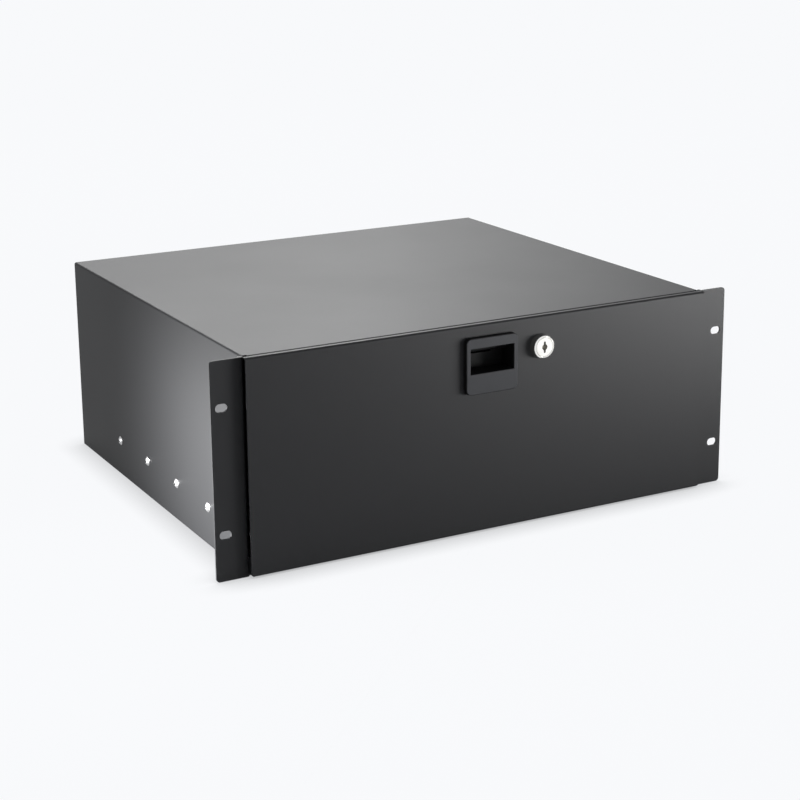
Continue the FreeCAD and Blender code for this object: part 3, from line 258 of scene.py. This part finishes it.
# paler colour for the bezel's face: a painted sheen, not a colour the plastic has
PLASTIC_PAINTED_SHEEN = (0.0132, 0.0137, 0.0152, 1.0)
RUBBER_BLACK = (0.014, 0.014, 0.014, 1.0)
ZINC = (0.46, 0.475, 0.5, 1.0)
PAINT_IOR = 1.22
PLASTIC_IOR = 1.18
PAINT_RELIEF = 0.00008
PLASTIC_RELIEF = 0.00004
METAL_RELIEF = 0.00003
# the bezel's face in front of this level of Y gets the paler colour of a painted sheen; nothing
# lies in front of the other
BEZEL_FACE_LEVEL = -0.0102
NO_FACE_LEVEL = -1.0


def paint(name, roughness, depth):
    return finish(name, POWDER, depth, PAINT_RELIEF, ior=PAINT_IOR, Colour=PAINT_BLACK,
                  Roughness=roughness)


def plastic(name, roughness, colour=PLASTIC_BLACK, **values):
    return finish(name, MOULDING, 0.35, PLASTIC_RELIEF, ior=PLASTIC_IOR, Colour=colour,
                  Roughness=roughness, **values)


def metal(name, colour, roughness, depth=0.15, **values):
    return finish(name, METAL, depth, METAL_RELIEF, metallic=1.0, Colour=colour,
                  Roughness=roughness, **values)


FINISHES = {
    "housing_paint": paint("housing_paint", 0.47, 0.35),
    "tray_paint": paint("tray_paint", 0.46, 0.4),
    "front_paint": paint("front_paint", 0.47, 0.4),
    # the latch bezel's face carries a painted sheen
    "latch_plastic": plastic("latch_plastic", 0.42, Face_Colour=PLASTIC_PAINTED_SHEEN,
                             Face_Level=BEZEL_FACE_LEVEL),
    "lever_plastic": plastic("lever_plastic", 0.38, Face_Level=NO_FACE_LEVEL),
    "slide_zinc": metal("slide_zinc", ZINC, 0.4),
    "strike_zinc": metal("strike_zinc", ZINC, 0.34),
    "fastener_zinc": metal("fastener_zinc", ZINC, 0.26, Cloud_Size=0.003, Line_Size=0.0002),
    "rivet": metal("rivet", (0.4, 0.4, 0.405, 1.0), 0.38, Cloud_Size=0.004, Cloudiness=0.1,
                   Lines=0.05),
    "cage_steel": metal("cage_steel", (0.5, 0.51, 0.53, 1.0), 0.36),
    "ball_steel": metal("ball_steel", (0.75, 0.75, 0.76, 1.0), 0.12, depth=0.02,
                        Cloud_Size=0.002, Cloudiness=0.15, Lines=0.03),
    "pin_steel": metal("pin_steel", (0.58, 0.59, 0.61, 1.0), 0.24, Line_Size=0.0002),
    "spring_steel": metal("spring_steel", (0.42, 0.42, 0.43, 1.0), 0.3, Line_Size=0.0002),
    "lock_chrome": metal("lock_chrome", (0.84, 0.83, 0.8, 1.0), 0.1, depth=0.02,
                         Cloud_Size=0.02, Cloudiness=0.06, Lines=0.04),
    "plug_chrome": metal("plug_chrome", (0.78, 0.77, 0.74, 1.0), 0.18, depth=0.05,
                         Cloud_Size=0.006, Cloudiness=0.1, Lines=0.06),
    "stop_rubber": plastic("stop_rubber", 0.72, RUBBER_BLACK, Face_Level=NO_FACE_LEVEL,
                           Grain_Size=0.0004),
}
# dark steel of the mandrel's end, also laid on the rivet's bore wall as painted shade
MANDREL_AND_BORE_SHADE = paint("mandrel_end_and_bore_shade", 0.7, 0.4)


def dress_nodes():
    """Every CAD node gets its finish in its material slots."""
    for node, slot in SLOTS.items():
        piece = frame["nodes"][node]
        piece.data.materials.clear()
        piece.data.materials.append(FINISHES[slot])


# geometry trees of the pieces that repeat

SOCKET_KINDS = {bool: "NodeSocketBool", int: "NodeSocketInt", float: "NodeSocketFloat",
                tuple: "NodeSocketVector", type(None): "NodeSocketMaterial"}
ROW_INPUTS = {"Count": 1, "Step": (0.0, 0.0, 0.0), "Rows": 1, "Row Step": (0.0, 0.0, 0.0),
              "Start": (0.0, 0.0, 0.0), "Turn": (0.0, 0.0, 0.0), "Loose Turn": 3.14,
              "Seed": 4, "Finish": None}
AXIS_RADIUS = 1e-6
MERGE_DISTANCE = 6e-6
EDGE_ROOM = 0.00002
SHARP_ANGLE = 0.6


class Growth:
    """Geometry tree of one kind of piece, set out in rows."""

    def __init__(self, name, inputs):
        self.tree = bpy.data.node_groups.new(name, "GeometryNodeTree")
        self.tree.is_modifier = True
        sockets = self.tree.interface
        sockets.new_socket("Outline", in_out="INPUT", socket_type="NodeSocketGeometry")
        for label, value in {**inputs, **ROW_INPUTS}.items():
            socket = sockets.new_socket(label, in_out="INPUT",
                                        socket_type=SOCKET_KINDS[type(value)])
            if value is not None:
                socket.default_value = value
        sockets.new_socket("Pieces", in_out="OUTPUT", socket_type="NodeSocketGeometry")
        self.given = self.tree.nodes.new("NodeGroupInput").outputs

    def node(self, kind, settings=(), **sources):
        """New node; each source is a socket, or a value for the input of that name."""
        node = self.tree.nodes.new(kind)
        for name, value in settings:
            setattr(node, name, value)
        for name, source in sources.items():
            label = name.replace("_", " ").title()
            target = node.inputs[int(name[1:])] if name[1:].isdigit() else node.inputs[label]
            if isinstance(source, bpy.types.NodeSocket):
                self.tree.links.new(source, target)
            else:
                target.default_value = source
        return node

    def maths(self, operation, *terms):
        named = {f"t{index}": term for index, term in enumerate(terms)}
        return self.node("ShaderNodeMath", (("operation", operation),), **named).outputs[0]

    def turned(self, outline, segments):
        """Round body from an outline of radius and height, about Z."""
        line = self.node("GeometryNodeMeshToCurve", t0=outline)
        ring = self.node("GeometryNodeCurvePrimitiveCircle", Resolution=segments,
                         Radius=AXIS_RADIUS)
        body = self.node("GeometryNodeCurveToMesh", t0=ring.outputs[0], t1=line.outputs[0])
        return self.node("GeometryNodeMergeByDistance", t0=body.outputs[0],
                         Distance=MERGE_DISTANCE).outputs[0]

    def place_parts(self):
        """Sockets of each point's X, Y, Z, distance from the axis and turn about it."""
        spot = self.node("GeometryNodeInputPosition").outputs[0]
        split = self.node("ShaderNodeSeparateXYZ", t0=spot).outputs
        radius = self.maths("SQRT", self.maths("ADD", self.maths("MULTIPLY", split[0], split[0]),
                                               self.maths("MULTIPLY", split[1], split[1])))
        return split[0], split[1], split[2], radius, self.maths("ARCTAN2", split[1], split[0])

    def moved(self, body, x, y, z, chosen=None):
        spot = self.node("ShaderNodeCombineXYZ", t0=x, t1=y, t2=z).outputs[0]
        node = self.node("GeometryNodeSetPosition", Geometry=body, Position=spot)
        if chosen is not None:
            self.tree.links.new(chosen, node.inputs["Selection"])
        return node.outputs[0]

    def marked(self, body, chosen):
        """Remember the chosen faces, which get the second finish."""
        node = self.node("GeometryNodeStoreNamedAttribute",
                         (("data_type", "BOOLEAN"), ("domain", "FACE")),
                         Geometry=body, Name="core", Value=chosen)
        return node.outputs[0]

    def finished(self, body, core=False):
        """Sharp edges kept, set out in rows, made real, and given its finish."""
        given = self.given
        corner = self.node("GeometryNodeInputMeshEdgeAngle").outputs["Unsigned Angle"]
        soft = self.node("FunctionNodeCompare", (("operation", "LESS_THAN"),), A=corner,
                         B=SHARP_ANGLE)
        faces = self.node("GeometryNodeSetShadeSmooth", Geometry=body)
        smooth = self.node("GeometryNodeSetShadeSmooth", (("domain", "EDGE"),),
                           Geometry=faces.outputs[0], Shade_Smooth=soft.outputs[0])
        across = self.node("GeometryNodeMeshLine", Count=given["Rows"],
                           Start_Location=given["Start"], Offset=given["Row Step"])
        along = self.node("GeometryNodeMeshLine", Count=given["Count"], Offset=given["Step"])
        grid = self.node("GeometryNodeInstanceOnPoints", Points=across.outputs[0],
                         Instance=along.outputs[0])
        spots = self.node("GeometryNodeRealizeInstances", Geometry=grid.outputs[0])
        loose = self.node("FunctionNodeRandomValue", (("data_type", "FLOAT"),),
                          t2=0.0, t3=given["Loose Turn"], Seed=given["Seed"])
        about = self.node("ShaderNodeCombineXYZ", Z=loose.outputs[1])
        first = self.node("GeometryNodeInstanceOnPoints", Points=spots.outputs[0],
                          Instance=smooth.outputs[0], Rotation=given["Turn"])
        spun = self.node("GeometryNodeRotateInstances", Instances=first.outputs[0],
                         Rotation=about.outputs[0])
        real = self.node("GeometryNodeRealizeInstances", Geometry=spun.outputs[0])
        last = self.node("GeometryNodeSetMaterial", Geometry=real.outputs[0],
                         Material=given["Finish"])
        if core:
            inside = self.node("GeometryNodeInputNamedAttribute", (("data_type", "BOOLEAN"),),
                               Name="core")
            last = self.node("GeometryNodeSetMaterial", Geometry=last.outputs[0],
                             Selection=inside.outputs[0], Material=given["Core Finish"])
        out = self.tree.nodes.new("NodeGroupOutput")
        self.tree.links.new(last.outputs[0], out.inputs[0])
        return self.tree


def grow(name, tree, outline, **values):
    """Run a geometry tree on an outline of radius and height; keep one plain mesh."""
    mesh = bpy.data.meshes.new(name)
    points = [(radius, -height, 0.0) for radius, height in outline]
    mesh.from_pydata(points, [(k, k + 1) for k in range(len(points) - 1)], [])
    piece = bpy.data.objects.new(name, mesh)
    bpy.context.collection.objects.link(piece)
    modifier = piece.modifiers.new(name, "NODES")
    modifier.node_group = tree
    sockets = {item.name: item.identifier for item in tree.interface.items_tree
               if item.item_type == "SOCKET" and item.in_out == "INPUT"}
    for label, value in values.items():
        modifier[sockets[label.replace("_", " ")]] = value
    reached = piece.evaluated_get(bpy.context.evaluated_depsgraph_get())
    grown = bpy.data.meshes.new_from_object(reached)
    piece.modifiers.remove(modifier)
    piece.data = grown
    shell = bmesh.new()
    shell.from_mesh(grown)
    bmesh.ops.recalc_face_normals(shell, faces=shell.faces)
    shell.to_mesh(grown)
    shell.free()
    return piece


# the repeated pieces: each outline runs from the axis outwards, as radius and height in mm

def arc_points(centre, radius, start, end, steps):
    """Outline points on an arc; angles in degrees, from outwards towards the head."""
    turns = [math.radians(start + (end - start) * k / steps) for k in range(steps + 1)]
    return [(centre[0] + radius * math.cos(turn), centre[1] + radius * math.sin(turn))
            for turn in turns]


def in_metres(outline):
    return [(radius * MM, height * MM) for radius, height in outline]


def rivet_tree():
    """Blind rivet; faces within the core radius get the core finish: the dark steel end of its
    mandrel, and the bore's wall around it as painted shade.
    """
    growth = Growth("blind_rivet", {"Segments": 28, "Core Radius": 0.001, "Core Finish": None})
    given = growth.given
    body = growth.turned(given["Outline"], given["Segments"])
    radius = growth.place_parts()[3]
    core = growth.node("FunctionNodeCompare", (("operation", "LESS_THAN"),), A=radius,
                       B=given["Core Radius"])
    return growth.finished(growth.marked(body, core.outputs[0]), core=True)


def screw_tree():
    """Round-headed screw with a cross recess that narrows as it goes down."""
    growth = Growth("recessed_screw", {"Segments": 32, "Recess Span": 0.004,
                                       "Recess Width": 0.001, "Recess Depth": 0.0014,
                                       "Head Height": 0.002, "Taper": 0.45})
    given = growth.given
    body = growth.turned(given["Outline"], given["Segments"])
    long = growth.node("ShaderNodeCombineXYZ", X=given["Recess Span"], Y=given["Recess Width"],
                       Z=growth.maths("MULTIPLY", given["Recess Depth"], 2.0)).outputs[0]
    blade = growth.node("GeometryNodeMeshCube", Size=long).outputs[0]
    x, y, z, _, _ = growth.place_parts()
    depth = growth.maths("DIVIDE", z, given["Recess Depth"])
    narrow = growth.maths("ADD", 1.0, growth.maths("MULTIPLY", depth, given["Taper"]))
    level = growth.maths("ADD", z, given["Head Height"])
    wedge = growth.moved(blade, growth.maths("MULTIPLY", x, narrow),
                         growth.maths("MULTIPLY", y, narrow), level)
    crossed = growth.node("GeometryNodeTransform", Geometry=wedge,
                          Rotation=(0.0, 0.0, math.pi / 2)).outputs[0]
    for cutter in (wedge, crossed):
        cut = growth.node("GeometryNodeMeshBoolean", (("operation", "DIFFERENCE"),),
                          t0=body, t1=cutter)
        body = cut.outputs[0]
    return growth.finished(body)


def nut_tree():
    """Hexagon nut with its corners chamfered; the outline's outer points become the flats."""
    growth = Growth("hexagon_nut", {"Segments": 48, "Flats": 0.007, "Thickness": 0.003,
                                    "Chamfer Radius": 0.0034})
    given = growth.given
    body = growth.turned(given["Outline"], given["Segments"])
    _, _, z, radius, turn = growth.place_parts()
    sixth = math.pi / 3
    within = growth.maths("SUBTRACT", growth.maths("FLOORED_MODULO", turn, sixth), sixth / 2)
    half = growth.maths("MULTIPLY", given["Flats"], 0.5)
    reach = growth.maths("DIVIDE", half, growth.maths("COSINE", within))
    over = growth.maths("MULTIPLY", growth.maths("SUBTRACT", reach, given["Chamfer Radius"]),
                        math.tan(math.pi / 6))
    middle = growth.maths("MULTIPLY", given["Thickness"], 0.5)
    side = growth.maths("SIGN", growth.maths("SUBTRACT", z, middle))
    level = growth.maths("SUBTRACT", z, growth.maths("MULTIPLY", side, over))
    outer = growth.node("FunctionNodeCompare", (("operation", "GREATER_THAN"),), A=radius,
                        B=growth.maths("ADD", given["Chamfer Radius"], EDGE_ROOM))
    hexed = growth.moved(body, growth.maths("MULTIPLY", reach, growth.maths("COSINE", turn)),
                         growth.maths("MULTIPLY", reach, growth.maths("SINE", turn)), level,
                         outer.outputs[0])
    return growth.finished(hexed)


def stud_tree():
    """Threaded stud: its outline's rings are drawn in along a helix."""
    growth = Growth("threaded_stud", {"Segments": 24, "Thread Pitch": 0.0007,
                                      "Thread Depth": 0.0003, "Thread Radius": 0.0018})
    given = growth.given
    body = growth.turned(given["Outline"], given["Segments"])
    x, y, z, radius, turn = growth.place_parts()
    phase = growth.maths("SUBTRACT", growth.maths("DIVIDE", z, given["Thread Pitch"]),
                         growth.maths("DIVIDE", turn, 2 * math.pi))
    wave = growth.maths("MULTIPLY", growth.maths("PINGPONG", phase, 0.5), 2.0)
    inward = growth.maths("MULTIPLY", growth.maths("MULTIPLY", wave, given["Thread Depth"]), -1.0)
    ratio = growth.maths("DIVIDE", growth.maths("ADD", radius, inward),
                         growth.maths("MAXIMUM", radius, AXIS_RADIUS))
    outer = growth.node("FunctionNodeCompare", (("operation", "GREATER_THAN"),), A=radius,
                        B=given["Thread Radius"])
    cut = growth.moved(body, growth.maths("MULTIPLY", x, ratio),
                       growth.maths("MULTIPLY", y, ratio), z, outer.outputs[0])
    return growth.finished(cut)


def ball_tree():
    growth = Growth("bearing_ball", {"Segments": 10})
    body = growth.turned(growth.given["Outline"], growth.given["Segments"])
    return growth.finished(body)


LEFTWARDS = (0.0, -math.pi / 2, 0.0)
RIGHTWARDS = (0.0, math.pi / 2, 0.0)
BACKWARDS = (-math.pi / 2, 0.0, 0.0)


def stand_for(piece, body, *nodes):
    """The piece rides on a body and is shown for the CAD nodes of the same fasteners."""
    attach(piece, body)
    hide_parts(*nodes)


def joined(name, parts):
    """One plain mesh from several."""
    shell = bmesh.new()
    materials = []
    for part in parts:
        at = len(shell.faces)
        shell.from_mesh(part.data)
        shell.faces.ensure_lookup_table()
        for face in shell.faces[at:]:
            material = part.data.materials[face.material_index]
            if material not in materials:
                materials.append(material)
            face.material_index = materials.index(material)
    mesh = bpy.data.meshes.new(name)
    shell.to_mesh(mesh)
    shell.free()
    for material in materials:
        mesh.materials.append(material)
    for part in parts:
        bpy.data.objects.remove(part)
    piece = bpy.data.objects.new(name, mesh)
    bpy.context.collection.objects.link(piece)
    return piece


# sizes in mm; "span", "slot" and "deep" are those of a screw's cross recess
# the rivet's "core" radius reaches past the bore, so the bore's wall gets the mandrel's dark
# finish as painted shade
RIVET = {"head": 4.0, "dome": 1.9, "bore": 1.15, "core": 1.18, "shank": 2.0, "grip": 2.7,
         "count": 4, "pitch": 68.0}
RAIL_SCREW = {"head": 3.7, "thick": 2.4, "shank": 2.0, "grip": 4.6, "count": 3,
              "pitch": 140.0, "span": 4.2, "slot": 1.05, "deep": 1.5}
LATCH_SCREW = {"head": 2.8, "thick": 2.0, "shank": 1.5, "grip": 4.7, "count": 2,
               "pitch": 30.0, "span": 3.0, "slot": 0.8, "deep": 1.2}
STUD = {"radius": 2.0, "long": 6.5, "pitch": 0.7, "lead": 0.45, "rings_per_turn": 4}
SIDE_STUDS = {"level": -47.5, "rise": 95.0}
FLOOR_STUDS = {"first": -120.0, "pitch": 240.0}
STUD_NUT = {"flats": 7.0, "thick": 3.2, "bore": 2.0, "chamfer": 3.4, "seat": 1.2}
LOCK_NUT = {"flats": 22.0, "thick": 3.5, "bore": 9.2, "chamfer": 10.7}
CAM_NUT = {"flats": 8.0, "thick": 3.0, "bore": 2.5, "chamfer": 3.85}
BALL = {"radius": 2.38, "pitch": 8.0, "count": 19}


def rivet_outline():
    """Mandrel end in the bore, the bore's rim, the dome, and the shank."""
    head, dome, bore, shank, grip = (RIVET[word] for word in
                                     ("head", "dome", "bore", "shank", "grip"))
    ball = (head ** 2 + dome ** 2) / (2 * dome)
    centre = (0.0, dome - ball)
    rim = 0.22
    first = math.degrees(math.acos((bore + rim) / ball))
    last = math.degrees(math.asin((rim - centre[1]) / ball))
    return in_metres(
        [(0, 0.95), (0.45, 0.9), (0.8, 0.74), (0.86, 0.5), (bore, 0.5), (bore, 1.52),
         (bore + 0.07, 1.67)]
        + arc_points(centre, ball, first, last, 9)
        + [(head, 0.14), (head - 0.05, 0), (shank, 0), (shank, -grip), (0, -grip)])


def screw_outline(sizes):
    """Pan head with a rounded crown, and a shank with a blunt tip."""
    head, thick, shank, grip = (sizes[word] for word in ("head", "thick", "shank", "grip"))
    crown = thick * 0.62
    tip_long, tip_deep = 0.6, 0.5
    return in_metres(
        [(0, thick), (head - crown * 1.35, thick)]
        + arc_points((head - crown * 0.98, thick - crown), crown, 68, 8, 5)
        + [(head, thick * 0.16), (head - 0.12, 0), (shank, 0), (shank, tip_long - grip),
           (shank - tip_deep, -grip), (0, -grip)])


def screw_values(sizes):
    """A screw's sizes as inputs of its tree."""
    return {"Count": sizes["count"], "Recess_Span": sizes["span"] * MM,
            "Recess_Width": sizes["slot"] * MM, "Recess_Depth": sizes["deep"] * MM,
            "Head_Height": sizes["thick"] * MM, "Finish": FINISHES["fastener_zinc"]}


def nut_outline(sizes):
    """Closed ring; the outer edge's two points stand past the chamfer and are hexed."""
    thick, bore, chamfer = (sizes[word] for word in ("thick", "bore", "chamfer"))
    lead = 0.3
    edge = chamfer + 0.4
    return in_metres([(bore, lead), (bore + lead, 0), (chamfer, 0), (edge, 0), (edge, thick),
                      (chamfer, thick), (bore + lead, thick), (bore, thick - lead),
                      (bore, lead)])


def nut_values(sizes):
    """A nut's sizes as inputs of its tree."""
    return {"Flats": sizes["flats"] * MM, "Thickness": sizes["thick"] * MM,
            "Chamfer_Radius": sizes["chamfer"] * MM}


def stud_outline():
    """Blunt tip, and rings close enough together for the thread."""
    radius, long = STUD["radius"], STUD["long"]
    rings = int(long / STUD["pitch"] * STUD["rings_per_turn"])
    side = [(radius, long * k / rings) for k in range(rings - 1, -1, -1)]
    return in_metres([(0, long), (radius - STUD["lead"], long)] + side + [(0, 0)])


def middle(low, high, axis):
    return (low[axis] + high[axis]) / 2


def add_rivets(tree):
    for side, hand, turn in (("left", -1, LEFTWARDS), ("right", 1, RIGHTWARDS)):
        node = f"slide_rivets_{side}"
        low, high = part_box(node)
        inner = high[0] if hand < 0 else low[0]
        start = (inner + hand * RIVET["grip"] * MM, low[1] + RIVET["head"] * MM,
                 middle(low, high, 2))
        piece = grow(f"blind_rivets_{side}", tree, rivet_outline(), Count=RIVET["count"],
                     Start=start, Step=(0.0, RIVET["pitch"] * MM, 0.0), Turn=turn,
                     Core_Radius=RIVET["core"] * MM, Finish=FINISHES["rivet"],
                     Core_Finish=MANDREL_AND_BORE_SHADE)
        stand_for(piece, "housing", node)


def add_rail_screws(tree):
    for side, hand, turn in (("left", 1, RIGHTWARDS), ("right", -1, LEFTWARDS)):
        node = f"rail_screws_{side}"
        low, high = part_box(node)
        outer = low[0] if hand > 0 else high[0]
        start = (outer + hand * RAIL_SCREW["grip"] * MM, low[1] + RAIL_SCREW["head"] * MM,
                 middle(low, high, 2))
        piece = grow(f"cross_head_screws_{side}", tree, screw_outline(RAIL_SCREW), Start=start,
                     Step=(0.0, RAIL_SCREW["pitch"] * MM, 0.0), Turn=turn,
                     **screw_values(RAIL_SCREW))
        stand_for(piece, "drawer", node)


def add_latch_screws(tree):
    low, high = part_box("latch_screws")
    start = (low[0] + LATCH_SCREW["head"] * MM, high[1] - LATCH_SCREW["thick"] * MM,
             middle(low, high, 2))
    piece = grow("bezel_screws", tree, screw_outline(LATCH_SCREW), Start=start,
                 Step=(LATCH_SCREW["pitch"] * MM, 0.0, 0.0), Turn=BACKWARDS, Seed=9,
                 **screw_values(LATCH_SCREW))
    stand_for(piece, "drawer", "latch_screws")


def stud_rows():
    """Rows of the front's studs: start, count, step, rows and row step."""
    low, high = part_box("front_studs")
    radius = STUD["radius"] * MM
    wide = high[0] - low[0] - 2 * radius
    sides_start = (low[0] + radius, low[1], SIDE_STUDS["level"] * MM)
    floor_start = (FLOOR_STUDS["first"] * MM, low[1], low[2] + radius)
    return ((sides_start, 2, (wide, 0.0, 0.0), 2, (0.0, 0.0, SIDE_STUDS["rise"] * MM)),
            (floor_start, 2, (FLOOR_STUDS["pitch"] * MM, 0.0, 0.0), 1, (0.0, 0.0, 0.0)))


def add_studs_and_nuts(studs, nuts):
    stud_parts = []
    nut_parts = []
    for start, count, step, rows, row_step in stud_rows():
        grid = {"Count": count, "Step": step, "Rows": rows, "Row_Step": row_step,
                "Turn": BACKWARDS, "Finish": FINISHES["fastener_zinc"]}
        stud_parts.append(grow("stud", studs, stud_outline(), Start=start, **grid))
        seat = (start[0], start[1] + STUD_NUT["seat"] * MM, start[2])
        nut_parts.append(grow("nut", nuts, nut_outline(STUD_NUT), Start=seat,
                              **nut_values(STUD_NUT), **grid))
    stand_for(joined("welded_studs", stud_parts), "drawer", "front_studs")
    stand_for(joined("chamfered_nuts", nut_parts), "drawer", "front_nuts")


def add_lock_nuts(tree):
    for node, name, body, sizes in (("lock_nut", "lock_ring_nut", "drawer", LOCK_NUT),
                                    ("cam_nut", "cam_end_nut", "lock", CAM_NUT)):
        low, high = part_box(node)
        start = (middle(low, high, 0), low[1], middle(low, high, 2))
        piece = grow(name, tree, nut_outline(sizes), Start=start, Segments=96, Turn=BACKWARDS,
                     Loose_Turn=0.0, Finish=FINISHES["fastener_zinc"], **nut_values(sizes))
        stand_for(piece, body, node)


def add_balls(tree):
    """Whole rows of round balls in place of the solids' flat-sided ones."""
    radius = BALL["radius"] * MM
    outline = in_metres(arc_points((0.0, 0.0), BALL["radius"], 90, -90, 6))
    outline[0] = (0.0, radius)
    outline[-1] = (0.0, -radius)
    for side in ("left", "right"):
        for row in ("outer", "inner"):
            node = f"{row}_balls_{side}"
            low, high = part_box(node)
            start = (middle(low, high, 0), low[1] + radius, low[2] + radius)
            piece = grow(f"{row}_ball_rows_{side}", tree, outline, Start=start,
                         Count=BALL["count"], Step=(0.0, BALL["pitch"] * MM, 0.0), Rows=2,
                         Row_Step=(0.0, 0.0, high[2] - low[2] - 2 * radius),
                         Finish=FINISHES["ball_steel"])
            stand_for(piece, f"{row}_cage_{side}", node)


def add_fasteners():
    screws = screw_tree()
    nuts = nut_tree()
    add_rivets(rivet_tree())
    add_rail_screws(screws)
    add_latch_screws(screws)
    add_studs_and_nuts(stud_tree(), nuts)
    add_lock_nuts(nuts)
    add_balls(ball_tree())


# stage, lights and camera

BACKGROUND = (0.938, 0.947, 0.965)


def seen_rays(tree):
    """One for rays that show a background: from the camera, and by gloss or through glass."""
    path = tree.nodes.new("ShaderNodeLightPath").outputs
    gloss = maths(tree, "MAXIMUM", path["Is Glossy Ray"], path["Is Transmission Ray"])
    return maths(tree, "MAXIMUM", path["Is Camera Ray"], gloss)


def make_world():
    world = bpy.data.worlds.new("studio")
    bpy.context.scene.world = world
    world.use_nodes = True
    tree = world.node_tree
    tree.nodes.clear()
    soft = add_node(tree, "ShaderNodeBackground", color=(1.0, 1.0, 1.0, 1.0), strength=1.0)
    pale = add_node(tree, "ShaderNodeBackground", color=(*BACKGROUND, 1.0), strength=1.0)
    mix = tree.nodes.new("ShaderNodeMixShader")
    link(tree, seen_rays(tree), mix.inputs["Fac"])
    link(tree, soft.outputs[0], mix.inputs[1])
    link(tree, pale.outputs[0], mix.inputs[2])
    output = tree.nodes.new("ShaderNodeOutputWorld")
    link(tree, mix.outputs[0], output.inputs["Surface"])


FLOOR_REACH = 30.0
# share of the floor that keeps its plain colour, and how dark and wide the painted contact shadow
# is
FLOOR_GLOW = 0.996
CONTACT_DEPTH = 0.56
CONTACT_REACH = 0.03


def make_floor():
    """Pale floor: partly its own plain colour, partly lit; the plain colour is darkened near the
    object by an occlusion mask, a painted contact shadow.
    """
    mesh = bpy.data.meshes.new("studio_floor")
    reach = FLOOR_REACH
    corners = [(-reach, -reach), (reach, -reach), (reach, reach), (-reach, reach)]
    mesh.from_pydata([(x, y, FLOOR_LEVEL) for x, y in corners], [], [(0, 1, 2, 3)])
    floor = bpy.data.objects.new("studio_floor", mesh)
    bpy.context.collection.objects.link(floor)
    material, tree = new_material("studio_floor")
    lit = add_node(tree, "ShaderNodeBsdfDiffuse", color=(*BACKGROUND, 1.0))
    plain = add_node(tree, "ShaderNodeEmission", strength=1.0)
    # occlusion mask that darkens the floor's plain colour: a painted contact shadow
    open_sky = add_node(tree, "ShaderNodeAmbientOcclusion", distance=CONTACT_REACH, samples=8)
    shade = maths(tree, "MULTIPLY_ADD", open_sky.outputs["AO"], CONTACT_DEPTH,
                  1.0 - CONTACT_DEPTH)
    shadow_painted_tone = add_node(tree, "ShaderNodeVectorMath", operation="SCALE")
    shadow_painted_tone.inputs[0].default_value = BACKGROUND
    link(tree, shade, shadow_painted_tone.inputs["Scale"])
    link(tree, shadow_painted_tone.outputs[0], plain.inputs["Color"])
    mix = tree.nodes.new("ShaderNodeMixShader")
    link(tree, maths(tree, "MULTIPLY", seen_rays(tree), FLOOR_GLOW), mix.inputs["Fac"])
    link(tree, lit.outputs[0], mix.inputs[1])
    link(tree, plain.outputs[0], mix.inputs[2])
    output = add_node(tree, "ShaderNodeOutputMaterial")
    link(tree, mix.outputs[0], output.inputs["Surface"])
    mesh.materials.append(material)


# name, place, target, width, height, watts, and spread in degrees; both side lamps stay
# below the housing's top, which would mirror them
SOFTBOXES = (
    ("back_softbox", (0.62, 2.1, 1.35), (-0.05, 0.1, 0.08), 1.1, 0.7, 32.0, 180.0),
    ("far_softbox", (1.3, 2.1, 1.0), (0.0, 0.15, 0.08), 0.9, 0.9, 3.5, 180.0),
    ("right_softbox", (0.85, -0.56, -0.02), (-0.22, 0.0, 0.17), 0.6, 0.18, 4.2, 54.0),
    ("left_softbox", (-0.75, 0.16, 0.0), (-0.214, -0.09, -0.04), 0.45, 0.16, 5.8, 38.0))


def add_softbox(name, place, target, wide, tall, power, spread):
    data = bpy.data.lights.new(name, "AREA")
    data.shape = "RECTANGLE"
    data.size = wide
    data.size_y = tall
    data.energy = power
    data.spread = math.radians(spread)
    lamp = bpy.data.objects.new(name, data)
    bpy.context.collection.objects.link(lamp)
    aim = Vector(target) - Vector(place)
    lamp.matrix_world = (Matrix.Translation(Vector(place))
                         @ aim.to_track_quat("-Z", "Y").to_matrix().to_4x4())


# angles in degrees; "focal" and "picture" in pixels, "sensor" in mm
CAMERA = {"place": (-0.73852, -1.22756, 0.44834), "yaw": 28.255, "pitch": -14.043,
          "roll": -0.602, "focal": 1828.649, "picture": 800.0, "lift": -0.1, "sensor": 36.0}


def make_camera():
    yaw, pitch, roll = (math.radians(CAMERA[word]) for word in ("yaw", "pitch", "roll"))
    ahead = Vector((math.sin(yaw) * math.cos(pitch), math.cos(yaw) * math.cos(pitch),
                    math.sin(pitch)))
    level = Vector((math.cos(yaw), -math.sin(yaw), 0.0))
    over = level.cross(ahead)
    right = level * math.cos(roll) + over * math.sin(roll)
    up = over * math.cos(roll) - level * math.sin(roll)
    data = bpy.data.cameras.new("camera")
    data.sensor_width = CAMERA["sensor"]
    data.lens = CAMERA["focal"] / CAMERA["picture"] * data.sensor_width
    data.shift_y = CAMERA["lift"]
    camera = bpy.data.objects.new("camera", data)
    bpy.context.collection.objects.link(camera)
    turn = Matrix((right, up, -ahead)).transposed().to_4x4()
    camera.matrix_world = Matrix.Translation(Vector(CAMERA["place"])) @ turn
    bpy.context.scene.camera = camera


dress_nodes()
add_fasteners()
make_world()
make_floor()
for softbox in SOFTBOXES:
    add_softbox(*softbox)
make_camera()
bpy.context.scene.view_settings.view_transform = "Standard"
